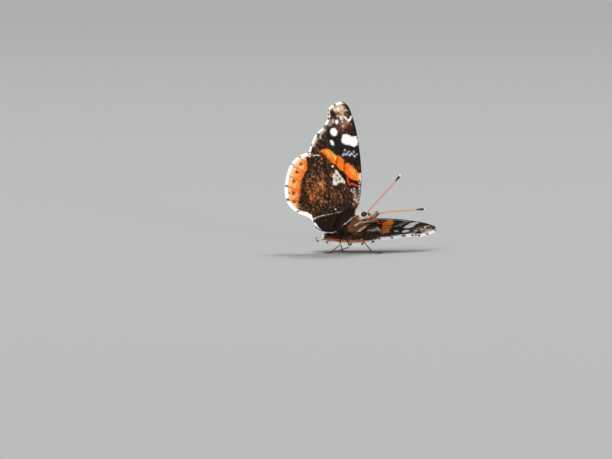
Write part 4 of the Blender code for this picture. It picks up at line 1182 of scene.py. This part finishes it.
# A fringe starts under the edge of the sheet, in two layers. Its scales turn aside, up and down by chance and
# are shorter where they are dark. droop turns some fringes down by degrees, longer changes their reach.
fringe = {"count": 1700, "width": 0.20, "thick": 0.016, "bend": 0.0, "widths": (0.7, 1.0, 1.0, 0.45),
          "under": 0.14, "layer": 0.035, "aside": 0.10, "tilt": 0.05, "lengths": (0.84, 0.14),
          "darkShort": 0.30, "slot": "wing_scales", "flatDroop": 4.0,
          "droop": {"forewingFringe_left": 60.0, "hindwingFringe_left": 56.0},
          "longer": {"forewingFringe_left": 0.92, "hindwingFringe_left": 1.08, "forewingFringe_right": 0.78}}


def fringeFinish():
    # White scales with dark ones at the ends of the veins.
    made = Finish("fringeScales", Roughness=0.6, Specular_IOR_Level=0.2)
    shade = made.value("shade")
    white = made.mix(shade, (0.95, 0.95, 0.95), (1.0, 1.0, 1.0))
    dark = made.mix(shade, (0.014, 0.009, 0.007), (0.075, 0.045, 0.028))
    isDark = made.between(0.4, 0.6, made.value("dark") + (shade - 0.5) * 0.5)
    made.feed("Base Color", made.mix(isDark, white, dark))
    made.feed("Roughness", 0.5 + shade * 0.2)
    return made.material


def makeFringe(name, wing, shape, bent, finish, darkReach):
    # Two rows of flat scales from just inside the edge of the sheet out to the true outline.
    count, edge = fringe["count"], wing["surface"][-1]
    across, place = (np.arange(count) + dice.random(count)) / count, np.linspace(0, 1, len(edge))

    def read(array):  # the array's rows at each scale's place along the edge
        return np.stack([np.interp(across, place, array[:, k]) for k in range(array.shape[1])], -1)

    start, stop, normal = read(edge), read(bent(wing["full"][None])[0]), unit(read(wing["dorsal"][-1]))
    flat = read(wing["full"])
    reach = np.linalg.norm(stop - start, axis=1)
    along = unit(stop - start)
    sideways = unit(np.cross(along, normal))
    droop = math.radians(fringe["droop"].get(name, fringe["flatDroop"]))
    along, normal = (along * math.cos(droop) - normal * math.sin(droop),
                     normal * math.cos(droop) + along * math.sin(droop))
    along = unit(along + sideways * dice.normal(0, fringe["aside"], (count, 1))
                 + normal * dice.normal(0, fringe["tilt"], (count, 1)))
    layer = np.where(np.arange(count) % 2 == 0, fringe["layer"], -fringe["layer"])[:, None]
    roots = start - along * fringe["under"] + normal * layer
    veinEnds = np.array([line[-1] for line in shape["veins"][:9]] + shape.get("darkFringe", []))
    away = np.linalg.norm(flat[:, None] - veinEnds[None], axis=2).min(1)
    dark = 1 - ease(darkReach * 0.7, darkReach * 1.3, away)
    size = reach * fringe["longer"].get(name, 1.0) + fringe["under"]
    short, more = fringe["lengths"]
    size = size * (short + more * dice.random(count)) * (1 - fringe["darkShort"] * dark)
    roots, along, normal = (mirrored(array, wing["side"]) for array in (roots, along, normal))
    rootUv = np.clip((flat - wing["low"]) / (wing["high"] - wing["low"]), 0, 1)
    values = {"dark": dark, "shade": dice.random(count)}
    addVanes(name, fringe, roots, along, normal, size, rootUv, finish, values, smooth=False)


fringeScales = fringeFinish()
for side, word in bothSides:
    makeFringe("forewingFringe_" + word, wings["fore", side], foreWing, bladePoint, fringeScales, 0.38)
    makeFringe("hindwingFringe_" + word, wings["hind", side], hindWing, hindPoint, fringeScales, 0.42)
print("fringe made")

# Tufts on one face of a wing. cover gives their density by the flat wing, face is 1 above and -1 under, and
# axis is the way they lie: 0 outward and 1 across.
wingTuft = dict(tuft, stray=0.2, slot="wing_scales")
flapCoat = dict(wingTuft, count=2200, width=0.075, thick=0.03, lift=9.0, bend=-0.05, stray=0.18, length=0.75,
                values=even(0.07, 0.32), face=-1.0, axis=1,
                cover=lambda flat: ((flat[:, 1] < foldLine(flat[:, 0]) - 0.2) & (flat[:, 0] < -2.4)) * 1.0)
baseCoat = dict(wingTuft, count=2600, width=0.08, thick=0.035, lift=14.0, bend=-0.08, length=1.0,
                values=even(0.20, 0.55), face=1.0, axis=0,
                cover=lambda flat: np.clip(1 - np.hypot(flat[:, 0] / 9.0, flat[:, 1] / 5.0), 0, 1))
foreBaseCoat = dict(baseCoat, count=1400,
                    cover=lambda flat: np.clip(1 - np.hypot(flat[:, 0] / 4.0, flat[:, 1] / 5.0), 0, 1))


def wingHair(name, wing, coat):
    # Tufts on the wing's middle sheet moved out by half its thickness, lying along its rows or columns.
    surface = wing["surface"] + wing["dorsal"] * coat["face"] * wingSheet["halfThick"]
    flat = ((wing["plan"][:-1, :-1] + wing["plan"][1:, 1:]) / 2).reshape(-1, 2)
    lying = unit(np.gradient(surface, axis=coat["axis"]))
    laid = dict(coat, lie=lambda points, u, v: readGrid(lying, u, v),
                place=lambda points: coat["cover"](flat))
    growCoat(name, surface, wing["dorsal"] * coat["face"], laid, hair, wing["side"])


for side, word in bothSides:
    wingHair("flapCoat_" + word, wings["hind", side], flapCoat)
    wingHair("baseCoat_" + word, wings["hind", side], baseCoat)
    wingHair("foreBaseCoat_" + word, wings["fore", side], foreBaseCoat)
print("wing hair made")

view = {"elevation": 2.5, "distance": 2000.0, "pixelsPerMm": 3.65, "bodyAt": (353.0, 222.0),
        "picture": (612, 459), "sensor": 36.0}
stage = {"floor": 12.0, "rings": (0.01, 0.05, 0.2, 0.5, 1.0), "sides": 96, "near": (0.60, 0.61, 0.60),
         "far": (0.47, 0.48, 0.47), "fade": (-1.0, 5.0), "air": 0.36, "airColor": (0.96, 0.98, 1.0, 1.0)}
# Lamps: name, degrees above the floor, degrees round from behind the camera to its right, strength, softness
# in degrees, colour.
lamps = [
    ("keySun", 38.0, -30.0, 1.00, 14.0, (1.0, 0.975, 0.94)),
    ("fillSun", 2.5, 12.0, 1.35, 8.0, (0.97, 0.985, 1.0)),
    ("lowSun", 2.5, -28.0, 0.85, 8.0, (1.0, 0.985, 0.96)),
    ("rimSun", 55.0, 165.0, 1.1, 22.0, (1.0, 1.0, 1.0)),
]


def makeStage():
    # A wide round floor with no wall, so that low light reaches the underside of the wings. Its paint fades
    # from near to far by the distance from the middle.
    reach, sides = stage["floor"] * np.array(stage["rings"]), stage["sides"]
    around = np.arange(sides) * fullTurn / sides
    circle = np.stack([np.cos(around), np.sin(around), 0 * around], -1)
    points = np.concatenate([(reach[:, None, None] * circle).reshape(-1, 3), [(0.0, 0.0, 0.0)]])
    quads = ringFaces(len(reach), sides)[0]
    fan = np.stack([np.full(sides, len(points) - 1), np.arange(sides), (np.arange(sides) + 1) % sides], -1)
    mesh = bpy.data.meshes.new("studioFloor")
    mesh.from_pydata(points.tolist(), [], quads[:, ::-1].tolist() + fan.tolist())
    mesh.shade_smooth()
    made = Finish("studioPaint", Roughness=0.85, Specular_IOR_Level=0.1)
    away = made.node("ShaderNodeVectorMath", {"operation": "LENGTH"},
                     {0: made.node("ShaderNodeTexCoord", out="Object")}, out="Value")
    made.feed("Base Color", made.mix(made.between(*stage["fade"], away), stage["near"], stage["far"]))
    mesh.materials.append(made.material)
    floor = bpy.data.objects.new("studioFloor", mesh)
    bpy.context.collection.objects.link(floor)


def makeLamps():
    # Suns turned by their height and heading, and an even grey light from all round.
    for name, height, heading, strength, softness, color in lamps:
        lamp = bpy.data.lights.new(name, "SUN")
        lamp.energy, lamp.angle, lamp.color = strength, math.radians(softness), color
        made = bpy.data.objects.new(name, lamp)
        made.rotation_euler = (math.radians(90 - height), 0, math.radians(heading))
        bpy.context.collection.objects.link(made)
    world = bpy.data.worlds.new("studioAir")
    world.use_nodes = True
    world.node_tree.nodes["Background"].inputs["Color"].default_value = stage["airColor"]
    world.node_tree.nodes["Background"].inputs["Strength"].default_value = stage["air"]
    bpy.context.scene.world = world


def makeCamera():
    # A long lens from far off, aimed so that the thorax falls on its place in the picture.
    lens = bpy.data.cameras.new("photoCamera")
    lens.sensor_width = view["sensor"]
    lens.lens = view["sensor"] * view["distance"] * view["pixelsPerMm"] / view["picture"][0]
    lens.clip_start, lens.clip_end = 0.05, 20.0
    rise = math.radians(view["elevation"])
    right = (view["bodyAt"][0] - view["picture"][0] / 2) / view["pixelsPerMm"]
    up = (view["picture"][1] / 2 - view["bodyAt"][1]) / view["pixelsPerMm"]
    target = bodyPlace - np.array((right, up * math.sin(rise), up * math.cos(rise)))
    camera = bpy.data.objects.new("photoCamera", lens)
    camera.location = (target + view["distance"] * np.array((0, -math.cos(rise), math.sin(rise)))) * mm
    camera.rotation_euler = (math.pi / 2 - rise, 0, 0)
    bpy.context.collection.objects.link(camera)
    bpy.context.scene.camera = camera


makeStage()
makeLamps()
makeCamera()
bpy.context.scene.view_settings.view_transform = "Standard"
print("stage, lamps and camera made")
